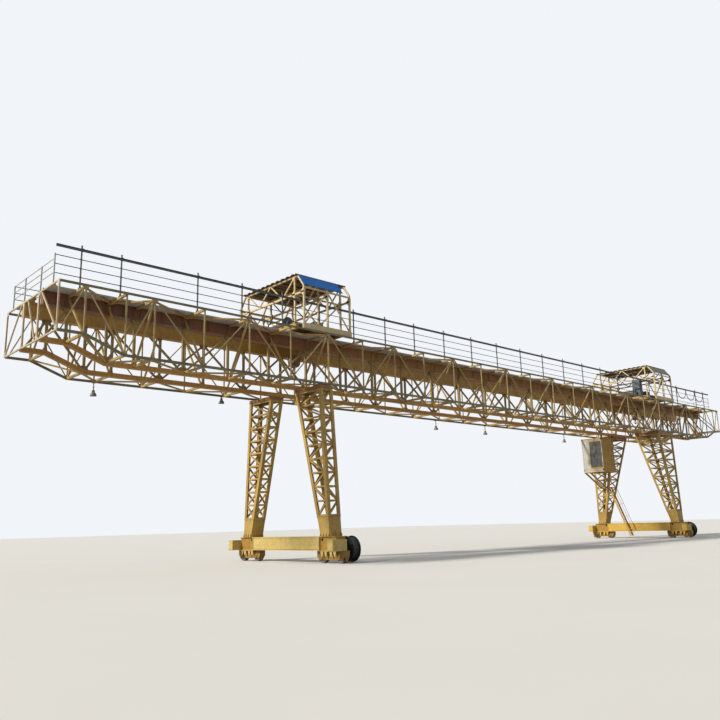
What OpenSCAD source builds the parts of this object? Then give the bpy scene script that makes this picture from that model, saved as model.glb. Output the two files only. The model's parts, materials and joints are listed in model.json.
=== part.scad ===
// Gantry crane with two lattice girders, two roofed trolleys and a hung cabin.
// It is drawn at half the size of the real crane. X runs along the bridge, Y along the ground
// rails and Z up, with the ground at z = 0.

/* [Bridge] */
// Length of a middle panel
panel = 1252; // [1240:2:1266]
// Number of middle panels
panels = 14; // [14:1:15]
// Length of a panel towards the near end
near_panel = 1133; // [1125:1:1141]
// Number of panels of that length
near_panels = 7;
// Length of the short panel at each end of the level chords
short_bay = 600; // [590:5:610]
// Length of the panels in which the lower chords rise
rise_bay = 810; // [780:10:840]
// Length of the two end panels
end_bay = 500; // [480:10:520]
// Height of the underside of the lower chords
bridge_z = 4060; // [3900:10:4200]
// Height of a girder, from the chord's underside to the rail beam's top
girder_h = 1310; // [1280:10:1400]
// Half the distance between the two girders' centrelines
girder_y = 525; // [515:5:540]
// Half the distance between the two outer trusses' centrelines
outer_y = 1400; // [1390:5:1420]
// Height of the rail beam
beam_h = 275; // [240:5:300]
// Width of the rail beam's box
beam_w = 150; // [140:2:160]
// Thickness of the rail beam's flanges
flange_t = 15; // [12:1:18]
// Overhang of the rail beam's flanges
flange_out = 13; // [10:1:16]
// Width of the crane rail
rail_w = 40; // [36:1:44]
// Height of the crane rail
rail_h = 55; // [50:1:60]
// Width of the girder's lower chord
chord_w = 110; // [100:2:120]
// Height of the girder's lower chord
chord_h = 95; // [85:1:105]
// Width of the girder's uprights
upright_w = 50; // [44:2:56]
// Width of the girder's diagonals
diagonal_w = 40; // [36:1:46]
// Side of the outer truss's top chord
outer_top = 40; // [36:2:46]
// Side of the outer truss's low chord
outer_low = 50; // [46:2:56]
// Width of the outer truss's uprights
outer_post = 28; // [24:1:32]
// Width of the outer truss's diagonals
outer_brace = 22; // [18:1:26]
// Height that the lower chords gain at both ends
end_rise = 305; // [280:5:330]
// Depth of the cross members
cross_h = 50; // [46:1:56]
// Width of the cross members
cross_w = 44; // [40:1:50]
// Width of the flat bracing between chords
lace_w = 34; // [30:1:38]
// Width of the slanting bars in the cross frames
sway_w = 36; // [32:1:42]
// Thickness of the two end frames along the bridge
end_w = 30; // [24:2:40]
// Width of the thin bars in the end frames
end_bar = 30; // [26:1:36]
// Width of the inner posts of the end frames
end_post = 54; // [48:2:60]
// Distance of the inner posts from the bridge's centreline
end_post_y = 405; // [395:1:408]

/* [Walkways and railings] */
// Width of a walkway
walk_w = 360; // [350:2:370]
// Half the distance between the two railings
railing_y = 1085; // [1078:1:1092]
// Side of a railing post
post_w = 24; // [20:1:28]
// Width of a railing bar
bar_w = 18; // [14:1:20]
// Height of the near railing's posts
near_post_h = 860; // [840:5:870]
// Height of the far railing's posts
far_post_h = 510; // [505:1:530]
// Height of the near railing's posts at the bridge's ends
corner_h = 594; // [590:1:610]
// Height of the lowest bar above the walkway
bar_low = 214; // [180:2:240]
// Distance between bars on the near railing
bar_pitch = 180; // [170:2:190]
// Distance between bars on the far and end railings
far_pitch = 140; // [130:2:144]
// Width of the cable track
track_w = 40; // [36:1:44]
// Height of the cable track
track_h = 46; // [42:1:50]
// Height of the cable track's centre above the walkway
track_z = 757; // [740:1:780]

/* [Legs] */
// Place of the near leg frame along the bridge
near_leg_x = -8320; // [-8360:10:-8280]
// Place of the far leg frame along the bridge
far_leg_x = 9150; // [9100:10:9200]
// Inner edge of a leg at its top
leg_in_top = 520; // [510:5:530]
// Outer edge of a leg at its top
leg_out_top = 1420; // [1400:5:1430]
// Distance from the ground beam's end to the leg's inner edge
foot_in = 90; // [85:1:95]
// Distance from the ground beam's end to the leg's outer edge
foot_out = 340; // [335:1:345]
// Half the width of the near legs
near_half = 150; // [140:5:160]
// Half the width of the far legs at the top
far_half_top = 545; // [530:5:560]
// Half the width of the far legs at the foot
far_half_foot = 150; // [145:1:160]
// Width of a leg's corner bar
leg_bar = 60; // [54:2:64]
// Width of a leg's level and slanting bars
leg_lace = 40; // [36:1:44]
// Number of panels in a leg
leg_panels = 9;
// Height of a leg's plated foot
foot_h = 450; // [420:5:480]
// Thickness of the plates under and over a foot
foot_plate = 15; // [12:1:20]
// Thickness of the cap on a leg
cap_h = 80; // [70:2:90]

/* [Ground beams] */
// Height of the ground beam's top
ground_top = 585; // [580:1:595]
// Height of the ground beam
ground_h = 310; // [300:1:315]
// Half the length of the ground beam
ground_half = 1310; // [1300:2:1320]
// Width of the ground beam
ground_w = 330; // [320:5:340]
// Overhang of the ground beam's bottom flange
ground_flange = 30; // [20:2:36]
// Length of the saddle under a leg
saddle_l = 550; // [540:5:560]
// Width of the saddle
saddle_w = 280; // [260:5:300]
// Radius of the hole through the saddle
saddle_hole = 35; // [25:1:40]
// Length of a drive housing
drive_l = 190; // [180:5:200]
// Width of a drive housing
drive_w = 410; // [400:5:420]
// Reach of a drive housing from the leg frame's plane towards the near end
drive_out = 400; // [390:5:405]
// Height of a drive housing
drive_h = 240; // [220:5:260]
// Radius of a travel wheel
wheel_r = 125; // [115:1:125]
// Width of a travel wheel's tread
wheel_w = 90; // [80:2:100]
// Half the distance between the two wheels of a bogie
wheel_pitch = 300; // [290:5:310]
// Height of a bogie's side plate
bogie_h = 200; // [180:5:210]
// Thickness of a bogie's side plate
bogie_t = 20; // [16:1:24]
// Radius of a cable reel
reel_r = 290; // [270:5:290]
// Radius of a cable reel's drum
reel_drum = 150; // [130:5:170]
// Width of a cable reel
reel_w = 200; // [180:5:220]
// Distance of a reel's centre inside the saddle's outer end
reel_in = 70; // [65:1:80]
// Gap between the saddle and a reel
reel_gap = 45; // [40:1:60]

/* [Cabin] */
// Place of the cabin's front along the bridge
cabin_x = 7625; // [7550:5:7650]
// Length of the cabin
cabin_l = 900; // [850:5:910]
// Inner side of the cabin
cabin_y = 475; // [470:1:490]
// Width of the cabin
cabin_w = 875; // [850:5:880]
// Distance from the chord's underside to the cabin's top
cabin_drop = 130; // [120:5:140]
// Height of the cabin
cabin_h = 1255; // [1200:5:1275]
// Thickness of the cabin's walls
wall_t = 25; // [20:1:30]
// Thickness of a window pane
pane_t = 6; // [4:1:8]
// Overhang of the cabin's roof
eave = 20; // [10:1:20]
// Depth of the platform's frame
platform_h = 75; // [60:1:80]
// Side of the platform's struts
strut_w = 50; // [44:1:54]

/* [Ladder] */
// Place of the ladder along the bridge
ladder_x = 8745; // [8735:1:8755]
// Width of the ladder
ladder_w = 200; // [190:1:205]
// Distance of the ladder's foot from the bridge's centreline
ladder_y = 225; // [200:5:250]
// Height of the ladder's foot above the ground
ladder_z = 100; // [80:5:120]
// Depth of a ladder side
ladder_side = 60; // [50:1:66]
// Distance between treads
tread_pitch = 140; // [120:1:160]

/* [Trolleys] */
// Place of the first trolley along the bridge
trolley_1_x = -8150; // [-8200:5:-8100]
// Place of the second trolley along the bridge
trolley_2_x = 9715; // [9600:5:9800]
// Half the distance between a trolley's end frames
trolley_half = 750; // [740:2:760]
// Height of the trolley's beams
trolley_h = 140; // [120:2:150]
// Gap between the rail's top and the trolley's beams
trolley_gap = 25; // [20:1:30]
// Width of the trolley's cross beams
trolley_beam = 90; // [80:2:100]
// Half the length of the trolley's cross beams
trolley_reach = 1030; // [1025:1:1040]
// Radius of a trolley wheel
roller_r = 105; // [95:1:110]
// Gap between a trolley wheel and the rail
roller_gap = 0.3; // [0.2:0.1:0.5]
// Half the distance between a trolley's wheels
roller_half = 480; // [460:5:500]
// Inner line of the shelter's posts
shelter_in = 990; // [985:1:1000]
// Outer line of the shelter's posts
shelter_out = 1340; // [1335:1:1345]
// Side of a shelter post
shelter_w = 44; // [38:1:50]
// Width of a shelter's slanting braces
brace_w = 28; // [24:1:32]
// Gap between the slanting sheet and the tubes under it
fascia_gap = 0.3; // [0.2:0.1:0.5]
// Height of the shelter's outer posts
eave_z = 6455; // [6440:5:6470]
// Height of the shelter's roof
roof_z = 6770; // [6740:5:6800]
// Half the width of the flat roof
roof_half = 1120; // [1110:5:1130]
// Height of the tie across the shelter
tie_z = 6300; // [6295:5:6320]
// Radius of the winch drum
drum_r = 130; // [110:5:150]
// Length of the winch drum
drum_l = 620; // [560:10:680]
// Height of the hook block's underside
block_z = 4620; // [4500:10:4700]

/* [Lamps and cables] */
// Drop of most floodlights below the chord
lamp_drop = 300; // [250:5:340]
// Drop of the short floodlight
short_drop = 170; // [160:5:190]
// Radius of a floodlight's bell
lamp_r = 75; // [60:1:90]
// Half the length of a hanging cable loop
loop_half = 430; // [420:5:440]
// Depth of a hanging cable loop
loop_depth = 370; // [350:5:390]
// Thickness of the hanging cable
loop_w = 20; // [14:1:24]

/* [Hidden] */

yellow = "gold";
cream = "khaki";
rust = "sienna";
steel = "darkslategray";

bays = concat([end_bay, rise_bay, short_bay], [for (i = [1:near_panels]) near_panel],
              [for (i = [1:panels]) panel], [short_bay, rise_bay, end_bay]);
last = len(bays);
function sum_to(i) = i == 0 ? 0 : sum_to(i - 1) + bays[i - 1];
length = sum_to(last);
reach = length / 2;
inner_reach = reach - end_w / 2;
deck_top = bridge_z + girder_h;
beam_z = deck_top - beam_h;
rail_top = deck_top + rail_h;
beam_face = girder_y + beam_w / 2;
outer_top_z = deck_top - outer_top / 2;
chord_z = bridge_z + chord_h / 2;
cross_z = deck_top - flange_t;
walk_gap = 2;
walk_in = beam_face + flange_out + walk_gap;
reel_y = ground_half + saddle_l - reel_in;
leg_in_foot = ground_half + foot_in;
leg_out_foot = ground_half + foot_out;
ground_z = ground_top - ground_h;
frame_shift = (reel_y + reel_r - ground_half - saddle_l - drive_l) / 2;

function node_x(i) = sum_to(i) - reach;
function rise_at(x) = end_rise * min(1, max(0, (abs(x) - reach + end_bay + rise_bay) / rise_bay));
web_reach = inner_reach - diagonal_w;
function web_x(i) = min(web_reach, max(-web_reach, node_x(i)));

// Puts a shape that is drawn about the bridge's centreline into the crane's own frame.
module in_frame() {
    translate([0, frame_shift, 0]) children();
}

// A straight bar from p to q, deep in the upright plane and wide across it.
module bar(p, q, deep, wide) {
    run = q - p;
    long = norm(run);
    translate(p) rotate([0, acos(run.z / long), atan2(run.y, run.x)])
        translate([-deep / 2, -wide / 2, 0]) cube([deep, wide, long]);
}

// A block between two corners.
module block(low, high) {
    translate(low) cube(high - low);
}

// A flat outline in X and Z, w thick about y.
module upright_sheet(points, y, w) {
    translate([0, y + w / 2, 0]) rotate([90, 0, 0]) linear_extrude(w) polygon(points);
}

// A flat outline in Y and Z, w thick about x.
module cross_sheet(points, x, w) {
    translate([x - w / 2, 0, 0]) rotate([90, 0, 90]) linear_extrude(w) polygon(points);
}

// A chord along the bridge that is level in the middle and raised at both ends.
module rising_chord(y, w, h) {
    stops = [-inner_reach, end_bay - reach, end_bay + rise_bay - reach];
    xs = concat(stops, [for (i = [2:-1:0]) -stops[i]]);
    low = [for (x = xs) [x, chord_z - h / 2 + rise_at(x)]];
    high = [for (i = [len(xs) - 1:-1:0]) [xs[i], chord_z + h / 2 + rise_at(xs[i])]];
    upright_sheet(concat(low, high), y, w);
}

// A slanting bar in an upright plane along the bridge, with level ends.
module slant(xa, za, xb, zb, y, deep, wide) {
    half = deep / 2 * norm([xb - xa, zb - za]) / abs(zb - za);
    upright_sheet([[xa - half, za], [xa + half, za], [xb + half, zb], [xb - half, zb]], y, wide);
}

module rail_beam(y) {
    half = beam_w / 2;
    color(rust) {
        block([-inner_reach, y - half, beam_z], [inner_reach, y + half, deck_top]);
        for (z = [beam_z, deck_top - flange_t])
            block([-inner_reach, y - half - flange_out, z],
                  [inner_reach, y + half + flange_out, z + flange_t]);
        block([-inner_reach, y - rail_w / 2, deck_top], [inner_reach, y + rail_w / 2, rail_top]);
    }
}

module main_truss(y) {
    color(yellow) {
        rising_chord(y, chord_w, chord_h);
        for (i = [1:last - 1])
            block([node_x(i) - upright_w / 2, y - upright_w / 2, chord_z + rise_at(node_x(i))],
                  [node_x(i) + upright_w / 2, y + upright_w / 2, beam_z]);
        for (i = [0:last - 1]) {
            low = i % 2 == 0 ? i : i + 1;
            high = i % 2 == 0 ? i + 1 : i;
            slant(web_x(low), chord_z + rise_at(node_x(low)), web_x(high), beam_z, y, diagonal_w, diagonal_w);
        }
    }
}

module outer_truss(y) {
    color(yellow) {
        rising_chord(y, outer_low, outer_low);
        block([-inner_reach, y - outer_top / 2, outer_top_z - outer_top / 2],
              [inner_reach, y + outer_top / 2, outer_top_z + outer_top / 2]);
        for (i = [1:last - 1])
            block([node_x(i) - outer_post / 2, y - outer_post / 2, chord_z + rise_at(node_x(i))],
                  [node_x(i) + outer_post / 2, y + outer_post / 2, outer_top_z]);
        for (i = [0:last - 1]) {
            low = i % 2 == 0 ? i : i + 1;
            high = i % 2 == 0 ? i + 1 : i;
            slant(web_x(low), chord_z + rise_at(node_x(low)), web_x(high), outer_top_z, y, outer_brace, outer_brace);
        }
    }
}

lace_lift = 3;

// Cross members at the nodes with flat bracing that runs from one to the next in a zigzag.
// The function low gives the height of a member's underside at a node.
module bracing(side, near_face, far_face, low) {
    inset = lace_w + cross_w / 2;
    ends = [near_face + inset, far_face - inset];
    for (i = [1:last - 1])
        block([node_x(i) - cross_w / 2, min(side * near_face, side * far_face), low(i)],
              [node_x(i) + cross_w / 2, max(side * near_face, side * far_face), low(i) + cross_h]);
    for (i = [1:last - 2])
        bar([node_x(i), side * ends[i % 2], low(i) + lace_lift + lace_w / 2],
            [node_x(i + 1), side * ends[(i + 1) % 2], low(i + 1) + lace_lift + lace_w / 2], lace_w, lace_w);
}

module top_bracing(side) {
    color(yellow)
        bracing(side, beam_face, outer_y - outer_top / 2, function (i) cross_z - cross_h);
}

module bottom_bracing(side) {
    color(yellow)
        bracing(side, girder_y + chord_w / 2, outer_y - outer_low / 2,
                function (i) chord_z + rise_at(node_x(i)) - cross_h / 2);
}

function leans_out(i) = i < 3 || i > last - 3 || i % 2 == 0;

// One slanting bar a side at each node. Most even ones run down and out from the rail beam's
// side, and the others down and in from the outer top chord.
module cross_frames() {
    high = cross_z - cross_h;
    wide = outer_y - beam_face;
    for (i = [1:last - 1], side = [-1, 1]) {
        low = chord_z + rise_at(node_x(i)) + cross_h / 2;
        long = norm([wide, high - low]);
        flat = sway_w / 2 * long / (high - low);
        steep = sway_w / 2 * long / wide;
        out = outer_y - outer_low / 2 - flat;
        in = girder_y + chord_w / 2 + flat;
        top = leans_out(i)
            ? [[side * beam_face, high - steep], [side * beam_face, high - 3 * steep]]
            : [[side * (out + flat), high], [side * (out - flat), high]];
        foot = leans_out(i) ? out : in;
        color(yellow)
            cross_sheet(concat(top, [[side * (foot - flat), low], [side * (foot + flat), low]]), node_x(i), sway_w);
    }
}

// The frame that joins the two girders at each end of the bridge.
module end_frames() {
    wide = outer_y + outer_top / 2;
    low = chord_z + end_rise;
    high = deck_top - end_bar / 2;
    brace_top = 200;
    brace_foot = 300;
    thin = end_w - 4;
    for (x = [-reach, reach]) color(yellow) {
        for (z = [low, high])
            block([x - end_w / 2, -wide, z - end_bar / 2], [x + end_w / 2, wide, z + end_bar / 2]);
        for (y = [-outer_y, outer_y])
            block([x - end_w / 2, y - end_bar / 2, low], [x + end_w / 2, y + end_bar / 2, high]);
        for (y = [-end_post_y, end_post_y])
            block([x - end_w / 2, y - end_post / 2, low], [x + end_w / 2, y + end_post / 2, high]);
        for (side = [-1, 1])
            bar([x, side * girder_y, high], [x, side * outer_y, low], end_bar, thin);
        bar([x, brace_top, high], [x, -brace_foot, low], end_bar, thin);
    }
}

// A plate that lies on the cross members, with a lip between them that clears the flat bracing.
module walkway(side) {
    far = walk_in + walk_w;
    gap = 4;
    lip_z = cross_z - cross_h + lace_lift + lace_w + walk_gap;
    color(cream) mirror([0, side < 0 ? 1 : 0, 0]) {
        block([-inner_reach, walk_in, cross_z], [inner_reach, far, deck_top]);
        for (i = [0:last - 1])
            block([max(node_x(i) + cross_w / 2 + gap, -inner_reach), far - flange_t, lip_z],
                  [min(node_x(i + 1) - cross_w / 2 - gap, inner_reach), far, deck_top]);
    }
}

post_nodes = [for (i = [1:last - 1]) if (i != 3 && i != last - 3) i];

// A bar of eight sides along X.
module long_bar(y, z) {
    translate([post_w / 2 - reach, y, z]) rotate([0, 90, 0])
        cylinder(d = bar_w, h = length - post_w, $fn = 8);
}

module side_railing(y, high, pitch) {
    color(steel) {
        for (i = post_nodes)
            block([node_x(i) - post_w / 2, y - post_w / 2, cross_z],
                  [node_x(i) + post_w / 2, y + post_w / 2, deck_top + high]);
        for (i = [0:2]) long_bar(y, deck_top + bar_low + pitch * i);
    }
}

module end_railings() {
    inner = girder_y - 90;
    for (x = [-reach, reach]) color(steel) {
        for (y = [-railing_y, -inner, inner, railing_y]) {
            high = y == -railing_y ? corner_h : far_post_h;
            block([x - post_w / 2, y - post_w / 2, deck_top],
                  [x + post_w / 2, y + post_w / 2, deck_top + high]);
        }
        for (i = [0:2])
            translate([x, -railing_y, deck_top + bar_low + far_pitch * i]) rotate([-90, 0, 0])
                cylinder(d = bar_w, h = 2 * railing_y, $fn = 8);
    }
}

track_y = -railing_y - post_w / 2 - track_w / 2;

module cable_track() {
    skin = 8;
    color(steel) {
        for (z = [-track_h / 2, track_h / 2 - skin])
            block([-reach, track_y - track_w / 2, deck_top + track_z + z],
                  [reach, track_y + track_w / 2, deck_top + track_z + z + skin]);
        block([-reach, track_y - skin / 2, deck_top + track_z - track_h / 2],
              [reach, track_y + skin / 2, deck_top + track_z + track_h / 2]);
    }
}

loops = 3;

// Cable that hangs in loops from small carriers under the track at the far end.
module cable_loops() {
    top = deck_top + track_z - track_h / 2;
    first = reach - end_bay - 100 - 2 * loop_half * loops;
    hook = 30;
    bend = 2 * atan(loop_depth / loop_half);
    radius = loop_half / sin(bend);
    color("black") {
        for (i = [0:loops])
            block([first + 2 * loop_half * i - hook / 2, track_y - loop_w / 2, top - hook - loop_w],
                  [first + 2 * loop_half * i + hook / 2, track_y + loop_w / 2, top]);
        for (i = [0:loops - 1])
            translate([first + loop_half * (2 * i + 1), track_y, top - hook + radius * cos(bend)])
                rotate([-90, 0, 0]) rotate_extrude(angle = 2 * bend, start = 90 - bend)
                    translate([radius, 0]) square(loop_w, center = true);
    }
}

// Each floodlight's place along the bridge and its drop.
lamps = [[-12725, lamp_drop], [-9400, short_drop], [-1225, lamp_drop], [1375, lamp_drop], [6425, lamp_drop]];

module floodlights() {
    rod = 10;
    neck = 100;
    for (lamp = lamps) {
        x = lamp[0];
        top = chord_z - outer_low / 2 + min(rise_at(x - rod), rise_at(x + rod));
        color("gray") translate([x, outer_y, top - lamp[1]]) {
            translate([0, 0, neck]) cylinder(r = rod, h = lamp[1] - neck, $fn = 16);
            rotate_extrude()
                polygon([[0, 60], [lamp_r - 8, 0], [lamp_r, 0], [lamp_r - 12, 50], [30, 90], [26, 130], [0, 130]]);
        }
    }
}

function leg_y(z, outer) =
    let (t = (z - ground_top) / (bridge_z - cap_h - ground_top))
    outer ? leg_out_foot + t * (leg_out_top - leg_out_foot) : leg_in_foot + t * (leg_in_top - leg_in_foot);
function leg_half(z, far) =
    let (t = (z - ground_top) / (bridge_z - cap_h - ground_top))
    far ? far_half_foot + t * (far_half_top - far_half_foot) : near_half;
function leg_corner(x, side, far, sx, outer, z) = [x + sx * leg_half(z, far), side * leg_y(z, outer), z];
leg_low = ground_top + foot_h;
leg_high = bridge_z - cap_h;
function leg_level(k) = leg_low + leg_lace / 2 + k * (leg_high - leg_low - leg_lace) / leg_panels;

// A lattice leg of four corner bars, level bars and zigzag bars on its four faces.
module leg(x, side, far) {
    big = 4 * far_half_top;
    color(yellow) {
        for (sx = [-1, 1], outer = [false, true])
            intersection() {
                bar(leg_corner(x, side, far, sx, outer, leg_low - leg_bar),
                    leg_corner(x, side, far, sx, outer, leg_high + leg_bar), leg_bar, leg_bar);
                translate([x - big / 2, side < 0 ? -big : 0, leg_low]) cube([big, big, leg_high - leg_low]);
            }
        for (k = [0:leg_panels]) {
            z = leg_level(k);
            for (outer = [false, true])
                bar(leg_corner(x, side, far, -1, outer, z), leg_corner(x, side, far, 1, outer, z),
                    leg_lace, leg_lace);
            for (sx = [-1, 1])
                bar(leg_corner(x, side, far, sx, false, z), leg_corner(x, side, far, sx, true, z),
                    leg_lace, leg_lace);
        }
        for (k = [0:leg_panels - 1]) {
            z = leg_level(k);
            up = leg_level(k + 1);
            s = k % 2 == 0 ? 1 : -1;
            for (outer = [false, true])
                bar(leg_corner(x, side, far, -s, outer, z), leg_corner(x, side, far, s, outer, up),
                    leg_lace - 4, leg_lace - 4);
            for (sx = [-1, 1])
                bar(leg_corner(x, side, far, sx, s < 0, z), leg_corner(x, side, far, sx, s > 0, up),
                    leg_lace - 4, leg_lace - 4);
        }
    }
}

// The plated foot of a leg: the two faces' outlines are crossed, so that it tapers both ways.
module leg_foot(x, side, far) {
    low = ground_top + foot_plate;
    high = leg_low - foot_plate;
    edge = leg_bar / 2;
    function ends(z) = [side * (leg_y(z, false) - edge), side * (leg_y(z, true) + edge)];
    function half(z) = leg_half(z, far) + edge;
    color(yellow) {
        intersection() {
            cross_sheet([[ends(low)[0], low], [ends(low)[1], low], [ends(high)[1], high], [ends(high)[0], high]],
                        x, 4 * far_half_top);
            upright_sheet([[x - half(low), low], [x + half(low), low], [x + half(high), high],
                           [x - half(high), high]], side * leg_in_foot, 4 * leg_in_foot);
        }
        for (z = [ground_top, high])
            block([x - half(z) - 10, min(ends(z)) - 10, z], [x + half(z) + 10, max(ends(z)) + 10, z + foot_plate]);
    }
}

module leg_caps() {
    for (far = [false, true], side = [-1, 1]) {
        x = far ? far_leg_x : near_leg_x;
        half = leg_half(leg_high, far) + leg_bar / 2 + 10;
        ys = [side * (leg_in_top - leg_bar / 2 - 10), side * (leg_out_top + leg_bar / 2 + 10)];
        color(rust) block([x - half, min(ys), leg_high], [x + half, max(ys), bridge_z]);
    }
}

module ground_beam(x) {
    half = ground_w / 2;
    lip = half + ground_flange;
    t = 20;
    color(yellow)
        upright_sheet([[x - lip, ground_z], [x + lip, ground_z], [x + lip, ground_z + t],
                       [x + half, ground_z + t], [x + half, ground_top - t], [x + half + 10, ground_top - t],
                       [x + half + 10, ground_top], [x - half - 10, ground_top],
                       [x - half - 10, ground_top - t], [x - half, ground_top - t],
                       [x - half, ground_z + t], [x - lip, ground_z + t]], 0, 2 * ground_half);
}

module saddles() {
    t = 20;
    for (x = [near_leg_x, far_leg_x], side = [-1, 1])
        color(rust) difference() {
            union() {
                block([x - saddle_w / 2, min(side * ground_half, side * (ground_half + saddle_l)), ground_z],
                      [x + saddle_w / 2, max(side * ground_half, side * (ground_half + saddle_l)), ground_top]);
                block([x - ground_w / 2, min(side * ground_half, side * (ground_half + saddle_l)), ground_top - t],
                      [x + ground_w / 2, max(side * ground_half, side * (ground_half + saddle_l)), ground_top]);
            }
            translate([x, side * (ground_half + 2 * saddle_hole), ground_top - 2 * saddle_hole])
                rotate([0, 90, 0]) cylinder(r = saddle_hole, h = 2 * saddle_w, center = true, $fn = 32);
        }
}

bogie_y = ground_half + saddle_l / 2;

module bogies() {
    half = wheel_pitch + wheel_r + 40;
    gap = wheel_w / 2 + 15;
    mid = wheel_pitch - wheel_r - 20;
    low = ground_z - bogie_h;
    for (x = [near_leg_x, far_leg_x], side = [-1, 1]) color(steel) translate([x, side * bogie_y, 0]) {
        for (s = [-1, 1])
            translate([s * (gap + bogie_t / 2), 0, 0])
                cross_sheet([[-half, low + 70], [-half + 60, low], [half - 60, low], [half, low + 70],
                             [half, ground_z], [-half, ground_z]], 0, bogie_t);
        block([-gap, -mid, low + 50], [gap, mid, ground_z]);
        for (s = [-1, 1])
            block([-gap, min(s * half, s * (half - 20)), low + 70], [gap, max(s * half, s * (half - 20)), ground_z]);
    }
}

module travel_wheels() {
    gap = wheel_w / 2 + 15;
    for (x = [near_leg_x, far_leg_x], side = [-1, 1], s = [-1, 1])
        color("dimgray") translate([x, side * bogie_y + s * wheel_pitch, wheel_r]) rotate([0, 90, 0]) {
            cylinder(r = wheel_r, h = wheel_w, center = true, $fn = 48);
            cylinder(r = 40, h = 2 * gap, center = true, $fn = 32);
        }
}

module drive_housings() {
    near = ground_half + saddle_l;
    for (x = [near_leg_x, far_leg_x], side = [-1, 1])
        color(yellow)
            block([x - drive_out, min(side * near, side * (near + drive_l)), ground_z],
                  [x - drive_out + drive_w, max(side * near, side * (near + drive_l)), ground_z + drive_h]);
}

// A reel stands on its axle at the saddle's side, towards the far end.
module cable_reels() {
    disc = 12;
    axle = 40;
    for (x = [near_leg_x, far_leg_x]) color(steel)
        translate([x + saddle_w / 2, -reel_y, reel_r + 10]) rotate([0, 90, 0]) {
            for (s = [reel_gap, reel_gap + reel_w - disc])
                translate([0, 0, s]) cylinder(r = reel_r, h = disc, $fn = 64);
            translate([0, 0, reel_gap]) cylinder(r = reel_drum, h = reel_w, $fn = 64);
            cylinder(r = axle, h = reel_gap + reel_w + disc, $fn = 32);
        }
}

cabin_end = cabin_x + cabin_l;
cabin_far = cabin_y + cabin_w;
cabin_top = bridge_z - cabin_drop;
cabin_z = cabin_top - cabin_h;
sill = 120;
head = 115;
roof_t = 20;
// The front window: its start along the wall and its width.
window = [cabin_y + 30, 500];
// The doorway in the wall towards the leg: its start along the wall, width and height.
door = [cabin_y + 100, 330, 950];

module cabin_shell() {
    color(yellow) difference() {
        block([cabin_x, cabin_y, cabin_z], [cabin_end, cabin_far, cabin_top]);
        block([cabin_x + wall_t, cabin_y + wall_t, cabin_z + wall_t],
              [cabin_end - wall_t, cabin_far - wall_t, cabin_top + 1]);
        block([cabin_x - 1, window[0], cabin_z + sill],
              [cabin_x + wall_t + 1, window[0] + window[1], cabin_top - head]);
        block([cabin_end - wall_t - 1, door[0], cabin_z + wall_t],
              [cabin_end + 1, door[0] + door[1], cabin_z + wall_t + door[2]]);
    }
}

module cabin_roof() {
    hang = 60;
    inset = 100;
    color(yellow) {
        block([cabin_x - eave, cabin_y - eave, cabin_top], [cabin_end, cabin_far + eave, cabin_top + roof_t]);
        for (x = [cabin_x + inset, cabin_end - inset - hang])
            block([x, girder_y - hang / 2, cabin_top + roof_t], [x + hang, girder_y + hang / 2, bridge_z]);
    }
}

module cabin_glass() {
    in = (wall_t - pane_t) / 2;
    color("darkslateblue")
        block([cabin_x + in, window[0], cabin_z + sill],
              [cabin_x + in + pane_t, window[0] + window[1], cabin_top - head]);
}

// The leg's level bars that carry the platform and its struts.
platform_level = round((cabin_z - leg_low) / (leg_high - leg_low) * leg_panels);
strut_level = platform_level - 2;

// The platform under the cabin, its two struts and the cleats that meet the leg's level bars.
module cabin_platform() {
    low = cabin_z - platform_h;
    edge = 60;
    floor_t = 10;
    inset = 80;
    upper = leg_level(platform_level);
    lower = leg_level(strut_level);
    upper_x = far_leg_x - leg_half(upper, true) - leg_lace / 2;
    lower_x = far_leg_x - leg_half(lower, true) - leg_lace / 2;
    end = upper_x - 20;
    start = cabin_x + 60;
    color(yellow) {
        block([cabin_x, cabin_y, cabin_z - floor_t], [end, cabin_far, cabin_z]);
        for (y = [cabin_y, cabin_far - edge])
            block([cabin_x, y, low], [end, y + edge, cabin_z]);
        for (x = [cabin_x, (cabin_x + end) / 2, end - edge])
            block([x, cabin_y, low], [x + edge, cabin_far, cabin_z]);
        for (y = [leg_y(lower, false) + inset, cabin_far - edge / 2]) {
            half = strut_w / 2 * norm([lower_x - start, low - lower]) / (low - lower);
            steep = strut_w / 2 * norm([lower_x - start, low - lower]) / (lower_x - start);
            upright_sheet([[start - half, low], [start + half, low], [lower_x, lower + steep],
                           [lower_x, lower - steep]], y, strut_w);
        }
        for (y = [leg_y(upper, false) + inset, cabin_far - edge])
            block([end - 1, y, low], [upper_x, y + edge, upper]);
    }
}

module cabin_ladder() {
    t = 20;
    tread = 8;
    stay_z = 400;
    level = leg_level(strut_level);
    top = level + leg_lace / 2;
    lean = (leg_y(level, false) - leg_lace - ladder_side / 2 - ladder_y) / (top - ladder_z);
    function at(z) = ladder_y + (z - ladder_z) * lean;
    flat = ladder_side / 2 * sqrt(1 + lean * lean);
    color(cream) {
        for (x = [ladder_x + t / 2, ladder_x + ladder_w - t / 2])
            cross_sheet([[at(ladder_z) - flat, ladder_z], [at(ladder_z) + flat, ladder_z],
                         [at(top) + flat, top], [at(top) - flat, top]], x, t);
        for (z = [ladder_z + tread_pitch / 2 : tread_pitch : top - 2 * t])
            block([ladder_x + t, at(z) - ladder_side / 2, z],
                  [ladder_x + ladder_w - t, at(z) + ladder_side / 2, z + tread]);
        block([ladder_x + ladder_w - t, at(top), top - leg_lace],
              [ladder_x + ladder_w, leg_y(level, false) - leg_lace / 2, top]);
        block([ladder_x + ladder_w - t, at(stay_z) - t, stay_z - t],
              [far_leg_x - ground_w / 2, at(stay_z) + t, stay_z + t]);
    }
}

frame_z = rail_top + trolley_gap;
frame_top = frame_z + trolley_h;
roller_z = rail_top + roller_gap + roller_r;
roller_w = 72;
pocket_w = 84;
rope_hole = [320, 330];

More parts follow.
